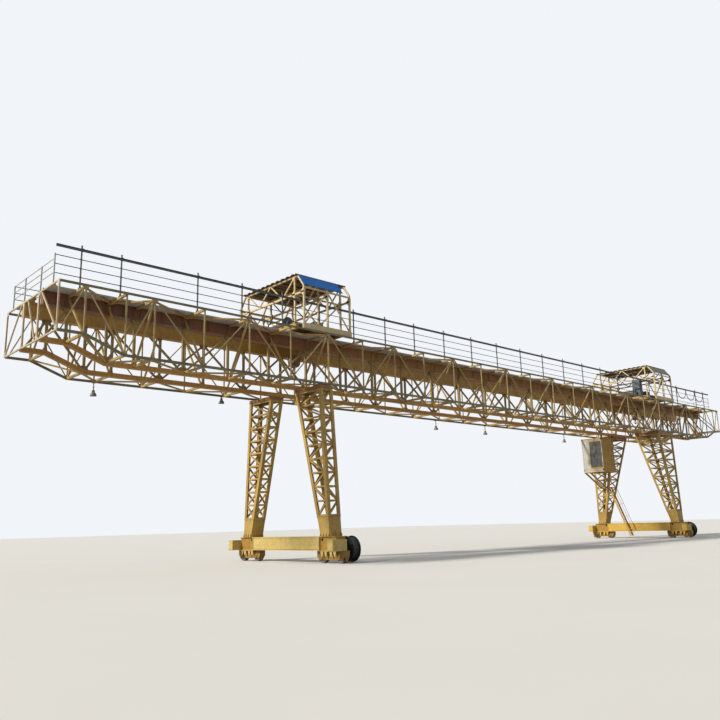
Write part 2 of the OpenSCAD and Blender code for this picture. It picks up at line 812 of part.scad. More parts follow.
module trolley_frame(x) {
    side = pocket_w / 2 + 18;
    color(yellow) translate([x, 0, 0]) difference() {
        union() {
            for (y = [-girder_y, girder_y])
                block([-trolley_half, y - side, frame_z], [trolley_half, y + side, frame_top]);
            for (c = [-trolley_half, -trolley_beam / 2, trolley_half - trolley_beam])
                block([c, -trolley_reach, frame_z], [c + trolley_beam, trolley_reach, frame_top]);
            difference() {
                block([-trolley_half, -trolley_reach, frame_top - 10], [trolley_half, trolley_reach, frame_top]);
                block([-rope_hole[0], -rope_hole[1], frame_top - 11], [rope_hole[0], rope_hole[1], frame_top + 1]);
            }
        }
        for (y = [-girder_y, girder_y], s = [-roller_half, roller_half])
            block([s - roller_r - 22, y - pocket_w / 2, frame_z - 1], [s + roller_r + 22, y + pocket_w / 2, frame_top + 1]);
    }
}

module trolley_wheels(x) {
    for (y = [-girder_y, girder_y], s = [-roller_half, roller_half])
        color("dimgray") translate([x + s, y, roller_z]) rotate([90, 0, 0]) {
            cylinder(r = roller_r, h = roller_w, center = true, $fn = 48);
            for (e = [-1, 1])
                translate([0, 0, e * (roller_w / 2 - 5)]) cylinder(r = roller_r + 12, h = 10, center = true, $fn = 48);
            cylinder(r = 28, h = pocket_w, center = true, $fn = 32);
        }
}

sheave = 120;
rope_y = 40;

// Drum on two pedestals with its gearbox, its motor and the beams over the rope hole. The
// second trolley has a cabinet too.
module trolley_winch(x, cabinet) {
    drum_x = -430;
    flange = 16;
    rim = 30;
    stand = 40;
    foot = 70;
    axis = frame_top + drum_r + 2 * rim;
    stand_y = drum_l / 2 + flange;
    color(steel) translate([x, 0, 0]) {
        translate([drum_x, 0, axis]) rotate([90, 0, 0]) {
            cylinder(r = drum_r, h = drum_l, center = true, $fn = 48);
            for (e = [-1, 1]) translate([0, 0, e * (drum_l + flange) / 2])
                cylinder(r = drum_r + rim, h = flange, center = true, $fn = 48);
        }
        for (y = [-stand_y - stand, stand_y])
            block([drum_x - foot, y, frame_top], [drum_x + foot, y + stand, axis + stand]);
        if (cabinet) block([-250, -480, frame_top], [-40, -150, frame_top + 790]);
    }
    gearbox = [350, 270, 260, 330];
    motor_x = 480;
    motor_y = -170;
    motor_r = 100;
    motor_l = 330;
    color("slategray") translate([x, 0, 0]) {
        block([gearbox[0], motor_y - gearbox[2], frame_top],
              [gearbox[0] + gearbox[1], motor_y, frame_top + gearbox[3]]);
        translate([motor_x, motor_y, frame_top + 2 * motor_r]) rotate([-90, 0, 0])
            cylinder(r = motor_r, h = motor_l, $fn = 40);
        block([motor_x - 80, -120, frame_top], [motor_x + 80, 120, frame_top + 130]);
        for (sx = [-sheave, sheave])
            block([sx - rim, -rope_hole[1] - 20, frame_top], [sx + rim, rope_hole[1] + 20, frame_top + 80]);
    }
}

function unit(v) = v / norm(v);
function turned(v) = [-v[1], v[0]];

// The points of a bent line moved sideways by d, with mitred bends.
function beside(path, d) = [
    for (i = [0:len(path) - 1])
        let (
            back = unit(i > 0 ? path[i] - path[i - 1] : path[1] - path[0]),
            ahead = unit(i < len(path) - 1 ? path[i + 1] - path[i] : path[i] - path[i - 1]),
            way = unit(turned(back) + turned(ahead))
        ) path[i] + way * d / (way * turned(back))
];
function reversed(list) = [for (i = [len(list) - 1:-1:0]) list[i]];

shelter_low = deck_top + 10;
shelter_beam = 137;
lap = 4;

// The bent tube that goes over the trolley, from one outer beam to the other.
module portal(x) {
    half = shelter_w / 2;
    right = [[shelter_out, shelter_low + shelter_beam - lap], [shelter_out, eave_z], [roof_half, roof_z - half]];
    path = concat(right, [for (p = reversed(right)) [-p[0], p[1]]]);
    cross_sheet(concat(beside(path, half), reversed(beside(path, -half))), x, shelter_w);
}

// One side of the shelter: its outer beam, inner posts, long bars and slanting braces.
module shelter_side(s, y_sign) {
    half = shelter_w / 2;
    thin = half - lap;
    span = trolley_half - half;
    beam_half = 35;
    for (c = [-1, 0, 1])
        block([s + c * span - half, y_sign * shelter_in - half, frame_top],
              [s + c * span + half, y_sign * shelter_in + half, roof_z - half]);
    block([s - trolley_half, y_sign * shelter_out - beam_half, shelter_low],
          [s + trolley_half, y_sign * shelter_out + beam_half, shelter_low + shelter_beam]);
    for (p = [[shelter_out, eave_z - shelter_w], [shelter_in, tie_z], [shelter_in, roof_z - shelter_w]])
        block([s - span, y_sign * p[0] - thin, p[1] - thin], [s + span, y_sign * p[0] + thin, p[1] + thin]);
    for (c = [-1, 0]) {
        left = s + c * span;
        right = left + span;
        bar([c < 0 ? left : right, y_sign * shelter_out, shelter_low + shelter_beam - half],
            [c < 0 ? right : left, y_sign * shelter_out, eave_z - shelter_w], brace_w, brace_w);
        bar([c < 0 ? right : left, y_sign * shelter_in, frame_top + brace_w],
            [c < 0 ? left : right, y_sign * shelter_in, tie_z], brace_w, brace_w);
    }
}

module trolley_shelter(x) {
    half = shelter_w / 2;
    color(yellow) {
        for (y_sign = [-1, 1]) shelter_side(x, y_sign);
        for (c = [-1, 0, 1]) {
            place = x + c * (trolley_half - half);
            portal(place);
            block([place - half + 2, -shelter_out, tie_z - half], [place + half - 2, shelter_out, tie_z + half]);
            for (k = [-2:1])
                bar([place, k * shelter_in / 2, k % 2 == 0 ? tie_z : roof_z - half],
                    [place, (k + 1) * shelter_in / 2, k % 2 == 0 ? roof_z - half : tie_z], brace_w, brace_w);
        }
    }
}

// Corrugated sheet: its ribs run along the bridge.
module trolley_roof(x, tone) {
    out = 60;
    pitch = 80;
    ribs = floor(2 * roof_half / pitch);
    wide = ribs * pitch / 2;
    thick = 6;
    high = 22;
    under = [for (i = [0:ribs - 1], p = [[0, 0], [30, 0], [40, high], [70, high]]) [i * pitch - wide + p[0], p[1]]];
    over = [for (i = [len(under) - 1:-1:0]) under[i] + [0, thick]];
    color(tone)
        translate([0, 0, roof_z]) cross_sheet(concat(under, [[wide, 0], [wide, thick]], over), x, 2 * (trolley_half + out));
}

// Sheet on the near chamfer of the shelter.
module trolley_fascia(x, from, to, tone) {
    half = shelter_w / 2;
    run = [roof_half - shelter_out, roof_z - half - eave_z];
    out = [run[1], -run[0]] / norm(run);
    a = [shelter_out, eave_z] + out * (half + fascia_gap);
    b = a + run;
    thick = 6;
    color(tone) mirror([0, 1, 0])
        cross_sheet([a, b, b + out * thick, a + out * thick], x + (from + to) / 2, to - from);
}

// Hook block drawn up in the slot between the girders, on its rope falls.
module trolley_hook_block(x) {
    half = 150;
    deep = 170;
    plate = 20;
    low = 180;
    high = 440;
    shoulder = 300;
    hook_r = 55;
    rope_r = 9;
    axis = high - sheave;
    color(rust) translate([x, 0, block_z]) {
        for (y = [-deep / 2 + plate / 2, deep / 2 - plate / 2])
            upright_sheet([[-60, low], [60, low], [half, shoulder], [half, high],
                           [-half, high], [-half, shoulder]], y, plate);
        translate([0, 0, axis]) rotate([90, 0, 0])
            cylinder(r = sheave, h = deep - 2 * plate, center = true, $fn = 40);
        block([-50, -deep / 2 + plate, low - 30], [50, deep / 2 - plate, low + 60]);
        translate([0, 0, 90]) cylinder(r = 22, h = 70, $fn = 24);
        translate([0, 0, 30]) rotate([90, 0, 0]) rotate_extrude(angle = 270, start = 90)
            translate([hook_r, 0]) circle(r = 20, $fn = 20);
    }
    color("dimgray")
        for (sx = [-sheave, sheave], y = [-rope_y, rope_y])
            translate([x + sx, y, block_z + axis]) cylinder(r = rope_r, h = frame_top - block_z - axis, $fn = 12);
}

blue_to = 500;

in_frame() rail_beam(-girder_y);  // rail_beam_near
in_frame() rail_beam(girder_y);  // rail_beam_far
in_frame() main_truss(-girder_y);  // main_truss_near
in_frame() main_truss(girder_y);  // main_truss_far
in_frame() outer_truss(-outer_y);  // outer_truss_near
in_frame() outer_truss(outer_y);  // outer_truss_far
in_frame() top_bracing(-1);  // top_bracing_near
in_frame() top_bracing(1);  // top_bracing_far
in_frame() bottom_bracing(-1);  // bottom_bracing_near
in_frame() bottom_bracing(1);  // bottom_bracing_far
in_frame() cross_frames();
in_frame() end_frames();
in_frame() walkway(-1);  // walkway_near
in_frame() walkway(1);  // walkway_far
in_frame() side_railing(-railing_y, near_post_h, bar_pitch);  // railing_near
in_frame() side_railing(railing_y, far_post_h, far_pitch);  // railing_far
in_frame() end_railings();
in_frame() cable_track();
in_frame() cable_loops();
in_frame() floodlights();
in_frame() leg(near_leg_x, -1, false);  // near_leg_right
in_frame() leg(near_leg_x, 1, false);  // near_leg_left
in_frame() leg(far_leg_x, -1, true);  // far_leg_right
in_frame() leg(far_leg_x, 1, true);  // far_leg_left
in_frame()  // leg_feet
    for (far = [false, true], side = [-1, 1]) leg_foot(far ? far_leg_x : near_leg_x, side, far);
in_frame() leg_caps();
in_frame() ground_beam(near_leg_x);  // ground_beam_near
in_frame() ground_beam(far_leg_x);  // ground_beam_far
in_frame() saddles();
in_frame() bogies();
in_frame() travel_wheels();
in_frame() drive_housings();
in_frame() cable_reels();
in_frame() cabin_shell();
in_frame() cabin_roof();
in_frame() cabin_glass();
in_frame() cabin_platform();
in_frame() cabin_ladder();
in_frame() trolley_frame(trolley_1_x);  // trolley_1_frame
in_frame() trolley_wheels(trolley_1_x);  // trolley_1_wheels
in_frame() trolley_winch(trolley_1_x, false);  // trolley_1_winch
in_frame() trolley_shelter(trolley_1_x);  // trolley_1_shelter
in_frame() trolley_roof(trolley_1_x, "saddlebrown");  // trolley_1_roof
in_frame() trolley_fascia(trolley_1_x, -trolley_half, blue_to, "royalblue");  // trolley_1_fascia
in_frame() trolley_hook_block(trolley_1_x);  // trolley_1_hook_block
in_frame() trolley_frame(trolley_2_x);  // trolley_2_frame
in_frame() trolley_wheels(trolley_2_x);  // trolley_2_wheels
in_frame() trolley_winch(trolley_2_x, true);  // trolley_2_winch
in_frame() trolley_shelter(trolley_2_x);  // trolley_2_shelter
in_frame() trolley_roof(trolley_2_x, "saddlebrown");  // trolley_2_roof
in_frame() trolley_fascia(trolley_2_x, -trolley_half, trolley_half, "slategray");  // trolley_2_fascia
in_frame() trolley_hook_block(trolley_2_x);  // trolley_2_hook_block
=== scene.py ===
"""Gantry crane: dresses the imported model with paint, wear and the small steelwork of a lattice crane.

Everything is in metres in the model's own frame: X along the bridge, Y along the ground rails, Z up.
"""
import json
import math
from collections import namedtuple

import bmesh
import bpy
import numpy as np
from mathutils import Matrix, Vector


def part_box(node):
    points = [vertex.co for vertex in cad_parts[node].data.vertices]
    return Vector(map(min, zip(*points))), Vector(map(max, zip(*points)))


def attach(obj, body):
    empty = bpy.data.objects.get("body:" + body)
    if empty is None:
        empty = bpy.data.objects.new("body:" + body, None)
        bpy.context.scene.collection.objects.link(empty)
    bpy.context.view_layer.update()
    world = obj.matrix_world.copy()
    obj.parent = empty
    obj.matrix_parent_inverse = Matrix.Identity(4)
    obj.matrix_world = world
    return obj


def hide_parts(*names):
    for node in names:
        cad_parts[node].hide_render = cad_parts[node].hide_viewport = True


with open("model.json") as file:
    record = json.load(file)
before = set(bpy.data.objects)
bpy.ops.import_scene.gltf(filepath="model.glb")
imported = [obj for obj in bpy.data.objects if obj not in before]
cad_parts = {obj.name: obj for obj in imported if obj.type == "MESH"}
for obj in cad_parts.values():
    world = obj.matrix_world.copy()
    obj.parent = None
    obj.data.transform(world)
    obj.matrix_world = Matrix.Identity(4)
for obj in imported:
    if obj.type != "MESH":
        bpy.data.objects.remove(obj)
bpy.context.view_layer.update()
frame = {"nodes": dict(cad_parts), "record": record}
nodes = frame["nodes"]

CAMERA_PLACE = (-19.389, -14.453, 0.8344)
CAMERA_YAW = math.radians(46.914)
CAMERA_PITCH = math.radians(12.583)
CAMERA_ROLL = math.radians(-1.580)
CAMERA_FOCAL_PX = 735.19
PICTURE_PX = 720
SENSOR_MM = 36

X = np.array([1.0, 0.0, 0.0])
Y = np.array([0.0, 1.0, 0.0])
Z = np.array([0.0, 0.0, 1.0])


def corners(node):
    """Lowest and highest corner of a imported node."""
    low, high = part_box(node)
    return np.array(low), np.array(high)


def middle_of(node):
    """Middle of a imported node's box."""
    low, high = corners(node)
    return (low + high) / 2


BAYS = [0.5, 0.81, 0.6] + [1.133] * 7 + [1.252] * 14 + [0.6, 0.81, 0.5]
REACH = sum(BAYS) / 2
NODE_X = np.cumsum([0] + BAYS)[1:-1] - REACH
NODE_NUMBER = np.arange(1, len(BAYS))
POST_X = np.delete(NODE_X, [2, -3])
END_RISE = 0.305
BEAM_HALF = 0.075
OUTER_CHORD = 0.050
SIDES = (-1, 1)
BOTH = np.array(SIDES)
LABELS = ((-1, "near"), (1, "far"))
MID_Y = (corners("rail_beam_near")[0][1] + corners("rail_beam_far")[1][1]) / 2
DECK = corners("walkway_near")[1][2]
BEAM_LOW = corners("rail_beam_near")[0][2]
GIRDER_Y = corners("rail_beam_far")[1][1] - BEAM_HALF - MID_Y
OUTER_Y = corners("outer_truss_far")[1][1] - OUTER_CHORD / 2 - MID_Y
RAIL_LINES = MID_Y + GIRDER_Y * BOTH
CHORD_H = 0.095
CHORD_Z = corners("main_truss_near")[0][2] + CHORD_H / 2
FLANGE = 0.015
CROSS_H = 0.05
PAINT_EDGE = 0.002


def rise(x):
    """Height that the lower chords have gained at a place along the bridge."""
    return END_RISE * np.clip((np.abs(x) - REACH + BAYS[0] + BAYS[1]) / BAYS[1], 0, 1)


def camera():
    """Camera at the photograph's place, turned by yaw from +X to +Y, then pitch up, then roll."""
    cos_p, sin_p = math.cos(CAMERA_PITCH), math.sin(CAMERA_PITCH)
    cos_y, sin_y = math.cos(CAMERA_YAW), math.sin(CAMERA_YAW)
    ahead = np.array([cos_p * cos_y, cos_p * sin_y, sin_p])
    right = np.array([sin_y, -cos_y, 0.0])
    up = np.cross(right, ahead)
    rolled_right = right * math.cos(CAMERA_ROLL) + up * math.sin(CAMERA_ROLL)
    rolled_up = up * math.cos(CAMERA_ROLL) - right * math.sin(CAMERA_ROLL)
    data = bpy.data.cameras.new("camera")
    data.lens = CAMERA_FOCAL_PX / PICTURE_PX * SENSOR_MM
    data.sensor_width = SENSOR_MM
    data.sensor_fit = "HORIZONTAL"
    data.clip_end = 500
    eye = bpy.data.objects.new("camera", data)
    turned_to = np.eye(4)
    turned_to[:3, 0] = rolled_right
    turned_to[:3, 1] = rolled_up
    turned_to[:3, 2] = -ahead
    turned_to[:3, 3] = CAMERA_PLACE
    eye.matrix_world = Matrix(turned_to.tolist())
    bpy.context.scene.collection.objects.link(eye)
    bpy.context.scene.camera = eye


class Wiring:
    """A short way to write a node tree: add nodes, set their sockets and join them."""

    def __init__(self, name):
        self.material = bpy.data.materials.new(name)
        self.material.use_nodes = True
        self.tree = self.material.node_tree
        self.shader = self.tree.nodes["Principled BSDF"]
        self.place = self.add("ShaderNodeTexCoord").outputs["Object"]

    def add(self, kind, **values):
        """Adds a node and sets its properties."""
        made = self.tree.nodes.new(kind)
        for key, value in values.items():
            setattr(made, key, value)
        return made

    def join(self, output, target):
        """Joins an output socket to an input socket."""
        self.tree.links.new(output, target)

    def noise(self, scale, detail=4.0, rough=0.55, stretch=None):
        """Cloudy noise in object coordinates, stretched along an axis where its scale is small."""
        source = self.place
        if stretch:
            mapping = self.add("ShaderNodeMapping")
            mapping.inputs["Scale"].default_value = stretch
            self.join(source, mapping.inputs["Vector"])
            source = mapping.outputs["Vector"]
        made = self.add("ShaderNodeTexNoise")
        made.inputs["Scale"].default_value = scale
        made.inputs["Detail"].default_value = detail
        made.inputs["Roughness"].default_value = rough
        self.join(source, made.inputs["Vector"])
        return made.outputs["Fac"]

    def span(self, value, low, high, to_low=0.0, to_high=1.0):
        """Maps the span from low to high evenly to another span and holds the ends."""
        made = self.add("ShaderNodeMapRange")
        made.clamp = True
        for socket, number in zip(("From Min", "From Max", "To Min", "To Max"), (low, high, to_low, to_high)):
            made.inputs[socket].default_value = number
        self.join(value, made.inputs["Value"])
        return made.outputs["Result"]

    def sum(self, a, b, operation="ADD"):
        """Sum of two values, or what another operation makes of them."""
        made = self.add("ShaderNodeMath", operation=operation)
        self.join(a, made.inputs[0])
        if isinstance(b, float):
            made.inputs[1].default_value = b
        else:
            self.join(b, made.inputs[1])
        return made.outputs["Value"]

    def along(self, axis):
        """Place along X, Y or Z, in metres."""
        made = self.add("ShaderNodeSeparateXYZ")
        self.join(self.place, made.inputs["Vector"])
        return made.outputs[axis]

    def times(self, a, b):
        """Product of two values."""
        return self.sum(a, b, "MULTIPLY")

    def blend(self, share, a, b):
        """Colour a where the share is 0 and colour b where it is 1."""
        made = self.add("ShaderNodeMix", data_type="RGBA")
        self.join(share, made.inputs["Factor"])
        for socket, colour in ((made.inputs["A"], a), (made.inputs["B"], b)):
            if isinstance(colour, tuple):
                socket.default_value = (*colour, 1.0)
            else:
                self.join(colour, socket)
        return made.outputs["Result"]

    def bump(self, height, strength, distance):
        """Tilts the surface by the slope of a height."""
        made = self.add("ShaderNodeBump")
        made.inputs["Strength"].default_value = strength
        made.inputs["Distance"].default_value = distance
        self.join(height, made.inputs["Height"])
        self.join(made.outputs["Normal"], self.shader.inputs["Normal"])


def aged_paint(name, fresh, faded, rust=(0.17, 0.065, 0.025), rust_share=0.5, rough=0.6, shine=0.5,
               other=None, where=None):
    """Brushed paint that has faded in clouds, with chips, rust runs under them and grime in fine grains.
    Where the rule called where gives 1, the pair of colours called other takes over."""
    w = Wiring(name)
    clouds = w.span(w.noise(1.3, 4.0), 0.36, 0.64)
    colour = w.blend(clouds, fresh, faded)
    if other:
        colour = w.blend(where(w), colour, w.blend(clouds, *other))
    patches = w.span(w.noise(5.0, 6.0, 0.62), 0.50, 0.62)
    colour = w.blend(w.times(patches, 0.22), colour, tuple(min(1.0, c * 1.25) for c in fresh))
    grime = w.span(w.noise(16.0, 7.0, 0.72), 0.44, 0.70)
    colour = w.blend(w.times(grime, 0.40), colour, tuple(c * 0.42 for c in faded))
    runs = w.noise(9.0, 6.0, 0.68, stretch=(1.0, 1.0, 0.16))
    worn = w.span(runs, 0.70 - 0.15 * rust_share, 0.77 - 0.12 * rust_share)
    chips = w.span(w.noise(34.0, 5.0, 0.6), 0.66 - 0.06 * rust_share, 0.70 - 0.05 * rust_share)
    colour = w.blend(w.times(worn, 0.70), colour, rust)
    colour = w.blend(w.times(chips, 0.85), colour, tuple(c * 0.8 for c in rust))
    w.join(colour, w.shader.inputs["Base Color"])
    w.join(w.span(w.sum(grime, chips), 0.0, 1.6, rough - 0.12, rough + 0.25), w.shader.inputs["Roughness"])
    w.shader.inputs["Specular IOR Level"].default_value = shine
    w.bump(w.sum(w.noise(70.0, 5.0, 0.6), w.times(chips, -0.8)), 0.30, 0.0015)
    return w.material


def over_the_rise(w):
    """Height less what the lower chords have gained, so that they lie level from end to end."""
    from_middle = w.sum(w.along("X"), 0.0, "ABSOLUTE")
    gained = w.span(from_middle, REACH - BAYS[0] - BAYS[1], REACH - BAYS[0], 0.0, END_RISE)
    return w.sum(w.along("Z"), gained, "SUBTRACT")


def on_lower_chord(w):
    """1 on a girder's lower chord, which rises at both ends, and 0 above it."""
    top = CHORD_Z + CHORD_H / 2
    return w.span(over_the_rise(w), top, top + PAINT_EDGE, 1.0, 0.0)


def painted_shade_on_outer_chords(w):
    """1 on an outer truss's upper and lower chord and 0 between them; there the dark colour pair is painted
    shade, for chords seen in shade from below.
    """
    top, under_deck = CHORD_Z + OUTER_CHORD / 2, DECK - 0.040
    lower = w.span(over_the_rise(w), top, top + PAINT_EDGE, 1.0, 0.0)
    return w.sum(lower, w.span(w.along("Z"), under_deck - PAINT_EDGE, under_deck), "MAXIMUM")


def past_the_near_end(w):
    """0 at the near end of the bridge and 1 past the near legs, with a long fade."""
    return w.span(w.along("X"), -10.5, -5.5)


def at_the_far_legs(w):
    """1 on the far half of the crane and 0 on the near half."""
    return w.span(w.along("X"), -0.1, 0.1)


def at_the_far_left_leg(w):
    """1 on the far half's left side and 0 elsewhere."""
    return w.times(at_the_far_legs(w), w.span(w.along("Y"), -0.1, 0.1))


def bare_steel(name, bright, dull):
    """Rolled steel, bright and dull in random spots, with patches of brown rust."""
    w = Wiring(name)
    spots = w.span(w.noise(22.0, 6.0, 0.66), 0.42, 0.62)
    colour = w.blend(spots, bright, dull)
    rust = w.span(w.noise(6.0, 6.0, 0.7), 0.50, 0.66)
    colour = w.blend(w.times(rust, 0.75), colour, (0.15, 0.07, 0.035))
    w.join(colour, w.shader.inputs["Base Color"])
    w.join(w.span(w.sum(spots, rust), 0.0, 2.0, 0.32, 0.75), w.shader.inputs["Roughness"])
    w.shader.inputs["Metallic"].default_value = 0.7
    w.bump(w.noise(90.0, 4.0, 0.6), 0.2, 0.001)
    return w.material


def glass(name, tint):
    """Dark glazing with a thin film of dust and dried rain."""
    w = Wiring(name)
    dust = w.span(w.noise(7.0, 5.0), 0.42, 0.75)
    runs = w.span(w.noise(16.0, 4.0, 0.6, stretch=(1.0, 1.0, 0.12)), 0.55, 0.72)
    film = w.span(w.sum(dust, runs), 0.0, 2.0)
    w.join(w.blend(film, tint, tuple(c * 1.7 + 0.05 for c in tint)), w.shader.inputs["Base Color"])
    w.join(w.span(film, 0.0, 1.0, 0.04, 0.35), w.shader.inputs["Roughness"])
    w.shader.inputs["Transmission Weight"].default_value = 0.25
    return w.material


def rubber(name, tone):
    """Cable sheath: dull, dusty in patches and with a fine bump."""
    w = Wiring(name)
    dust = w.span(w.noise(28.0, 5.0, 0.6), 0.45, 0.70)
    w.join(w.blend(w.times(dust, 0.5), tone, (0.14, 0.13, 0.11)), w.shader.inputs["Base Color"])
    w.join(w.span(dust, 0.0, 1.0, 0.45, 0.80), w.shader.inputs["Roughness"])
    w.bump(w.noise(160.0, 3.0, 0.5), 0.15, 0.0006)
    return w.material


FINISHES = {
    "beam_near_paint": aged_paint("beam_near_paint", (0.22, 0.085, 0.035), (0.16, 0.065, 0.03),
                                  rust_share=0.9,
                                  other=((0.41, 0.20, 0.055), (0.31, 0.15, 0.045)), where=past_the_near_end),
    "beam_far_paint": aged_paint("beam_far_paint", (0.50, 0.28, 0.05), (0.39, 0.21, 0.04), rust_share=0.6),
    "girder_paint": aged_paint("girder_paint", (0.33, 0.225, 0.07), (0.24, 0.165, 0.055), rust_share=0.6,
                               other=((0.56, 0.29, 0.06), (0.45, 0.23, 0.05)), where=on_lower_chord),
    # The outer trusses' chords take a dark colour pair: painted shade, for chords seen in shade from below.
    "outer_truss_paint": aged_paint("outer_truss_paint", (0.45, 0.335, 0.135), (0.33, 0.245, 0.10),
                                    rust_share=0.5,
                                    other=((0.13, 0.12, 0.075), (0.19, 0.165, 0.10)), where=painted_shade_on_outer_chords),
    "lattice_paint": aged_paint("lattice_paint", (0.50, 0.34, 0.10), (0.37, 0.25, 0.085), rust_share=0.6),
    "shelter_paint": aged_paint("shelter_paint", (0.72, 0.58, 0.32), (0.58, 0.45, 0.23), rust_share=0.3),
    "leg_paint": aged_paint("leg_paint", (0.52, 0.345, 0.085), (0.39, 0.25, 0.065), rust_share=0.5),
    # The caps' dark brown is painted shade: they lie in shade under the girders. The red at the far left leg
    # is the caps' own colour.
    "cap_paint": aged_paint("cap_paint", (0.30, 0.16, 0.04), (0.22, 0.11, 0.04),
                            other=((0.36, 0.030, 0.018), (0.28, 0.028, 0.018)), where=at_the_far_left_leg),
    "ground_paint": aged_paint("ground_paint", (0.62, 0.48, 0.17), (0.54, 0.40, 0.12), rust_share=0.3,
                               other=((0.66, 0.42, 0.06), (0.58, 0.35, 0.05)), where=at_the_far_legs),
    "flange_edge_paint": aged_paint("flange_edge_paint", (0.40, 0.19, 0.06), (0.30, 0.13, 0.05),
                                    rust_share=0.9),
    # The saddle paint is darker than the ground beams': painted shade of the saddles' recess.
    "saddle_paint": aged_paint("saddle_paint", (0.40, 0.23, 0.04), (0.31, 0.17, 0.035), rust_share=0.6),
    "bogie_paint": aged_paint("bogie_paint", (0.36, 0.21, 0.04), (0.22, 0.12, 0.03), rust_share=0.8),
    "wheel_steel": bare_steel("wheel_steel", (0.30, 0.28, 0.25), (0.16, 0.14, 0.12)),
    "deck_paint": aged_paint("deck_paint", (0.54, 0.49, 0.49), (0.43, 0.38, 0.38), rust_share=0.4),
    "railing_paint": aged_paint("railing_paint", (0.088, 0.098, 0.112), (0.13, 0.135, 0.14), rust_share=0.2),
    "thin_bar_paint": aged_paint("thin_bar_paint", (0.60, 0.60, 0.56), (0.48, 0.48, 0.45), rust_share=0.2),
    "end_frame_paint": aged_paint("end_frame_paint", (0.62, 0.50, 0.30), (0.46, 0.38, 0.25), rust_share=0.5),
    "reel_paint": aged_paint("reel_paint", (0.012, 0.030, 0.030), (0.03, 0.05, 0.045),
                             rust_share=0.3, rough=0.45),
    "cable_rubber": rubber("cable_rubber", (0.022, 0.022, 0.024)),
    "lamp_metal": aged_paint("lamp_metal", (0.13, 0.13, 0.12), (0.19, 0.19, 0.17), rust_share=0.4),
    "cabin_paint": aged_paint("cabin_paint", (0.56, 0.35, 0.06), (0.47, 0.28, 0.055), rust_share=0.3),
    "winch_paint": aged_paint("winch_paint", (0.075, 0.10, 0.14), (0.11, 0.13, 0.16), rust_share=0.4),
    "roof_sheet": aged_paint("roof_sheet", (0.17, 0.105, 0.05), (0.12, 0.08, 0.045), rust_share=0.8),
    "fascia_blue": aged_paint("fascia_blue", (0.002, 0.155, 0.54), (0.003, 0.125, 0.46),
                              rust_share=0.0, shine=0.15),
    "fascia_grey": aged_paint("fascia_grey", (0.085, 0.075, 0.06), (0.12, 0.10, 0.08), rust_share=0.4),
    "hook_paint": aged_paint("hook_paint", (0.22, 0.11, 0.03), (0.16, 0.08, 0.03)),
    "cabin_glazing": glass("cabin_glazing", (0.12, 0.115, 0.10)),
    "lamp_glass": glass("lamp_glass", (0.35, 0.36, 0.34)),
    "cabin_pale": aged_paint("cabin_pale", (0.52, 0.51, 0.46), (0.43, 0.42, 0.38), rust_share=0.2),
}

NODE_FINISHES = {
    "main_truss_near": "girder_paint",
    "main_truss_far": "girder_paint",
    "outer_truss_near": "outer_truss_paint",
    "outer_truss_far": "outer_truss_paint",
    "end_frames": "end_frame_paint",
    "trolley_1_shelter": "shelter_paint",
    "trolley_2_shelter": "shelter_paint",
}

SHARP_ANGLE = math.radians(40)
BOX_FACES = np.array([[0, 2, 3, 1], [4, 5, 7, 6], [0, 1, 5, 4], [2, 6, 7, 3], [0, 4, 6, 2], [1, 3, 7, 5]])
BOX_BITS = np.array([[i & 1, i >> 1 & 1, i >> 2 & 1] for i in range(8)])


def unit(way):
    """A direction, or rows of them, brought to length 1."""
    way = np.asarray(way, float)
    return way / np.linalg.norm(way, axis=-1, keepdims=True)


def grid(*axes):
    """Every mix of the values of the axes, one row each."""
    return np.stack(np.meshgrid(*axes, indexing="ij"), -1).reshape(-1, len(axes))


def points_at(x, y, z):
    """Points from their x, y and z, each one number or a row of them."""
    return np.stack(np.broadcast_arrays(x, y, z), -1).astype(float)


def four(across, up):
    """Offsets of four fasteners at a plate's corners."""
    return grid([-across, across], [-up, up])


def boxes(low, high):
    """Upright boxes: a corner takes the low or the high value of each axis."""
    low, high = np.broadcast_arrays(np.atleast_2d(low).astype(float), np.atleast_2d(high).astype(float))
    return low[:, None] + BOX_BITS * (high - low)[:, None], [BOX_FACES]


def blocks(middles, size):
    """Boxes of one size about each middle."""
    half = np.asarray(size, float) / 2
    return boxes(np.asarray(middles, float) - half, np.asarray(middles, float) + half)


def tube_faces(rings, sides):
    """Four-sided faces between neighbouring rings of points and one flat face at each end."""
    here = np.arange(sides)
    ahead = (here + 1) % sides
    ring = np.arange(rings - 1)[:, None] * sides
    walls = np.stack([ring + here, ring + ahead, ring + sides + ahead, ring + sides + here], -1)
    return [walls.reshape(-1, 4), np.stack([here[::-1], (rings - 1) * sides + here])]


def circle(radius, sides=10):
    """Points of a round outline: radius times the cosine and the sine of even steps of a turn."""
    angle = 2 * math.pi * np.arange(sides) / sides
    return radius * np.stack([np.cos(angle), np.sin(angle)], -1)


def rectangle(wide, high):
    """A rectangle's outline about its middle."""
    return np.array([[-wide, -high], [wide, -high], [wide, high], [-wide, high]]) / 2


def round_rectangle(wide, high, radius, steps=4):
    """A rectangle's outline with round corners: a quarter turn of even steps about each corner's
    own centre."""
    turn = np.linspace(0, math.pi / 2, steps)
    points = []
    for quarter, (sx, sy) in enumerate(((1, 1), (-1, 1), (-1, -1), (1, -1))):
        angle = turn + quarter * math.pi / 2
        middle = np.array([sx * (wide / 2 - radius), sy * (high / 2 - radius)])
        points.append(middle + radius * np.stack([np.cos(angle), np.sin(angle)], -1))
    return np.concatenate(points)


def bent(path, reach, steps=6):
    """A path with its corners rounded: at a corner P the points are (1 - s) squared times A, plus 2 s (1 - s)
    times P, plus s squared times B, where A and B lie on the two runs at a distance called reach from P."""
    path = np.asarray(path, float)
    s = np.linspace(0, 1, steps)[:, None]
    runs = [path[:1]]
    for before, corner, after in zip(path[:-2], path[1:-1], path[2:]):
        a = corner + unit(before - corner) * reach
        b = corner + unit(after - corner) * reach
        runs.append((1 - s) ** 2 * a + 2 * s * (1 - s) * corner + s ** 2 * b)
    return np.concatenate(runs + [path[-1:]])


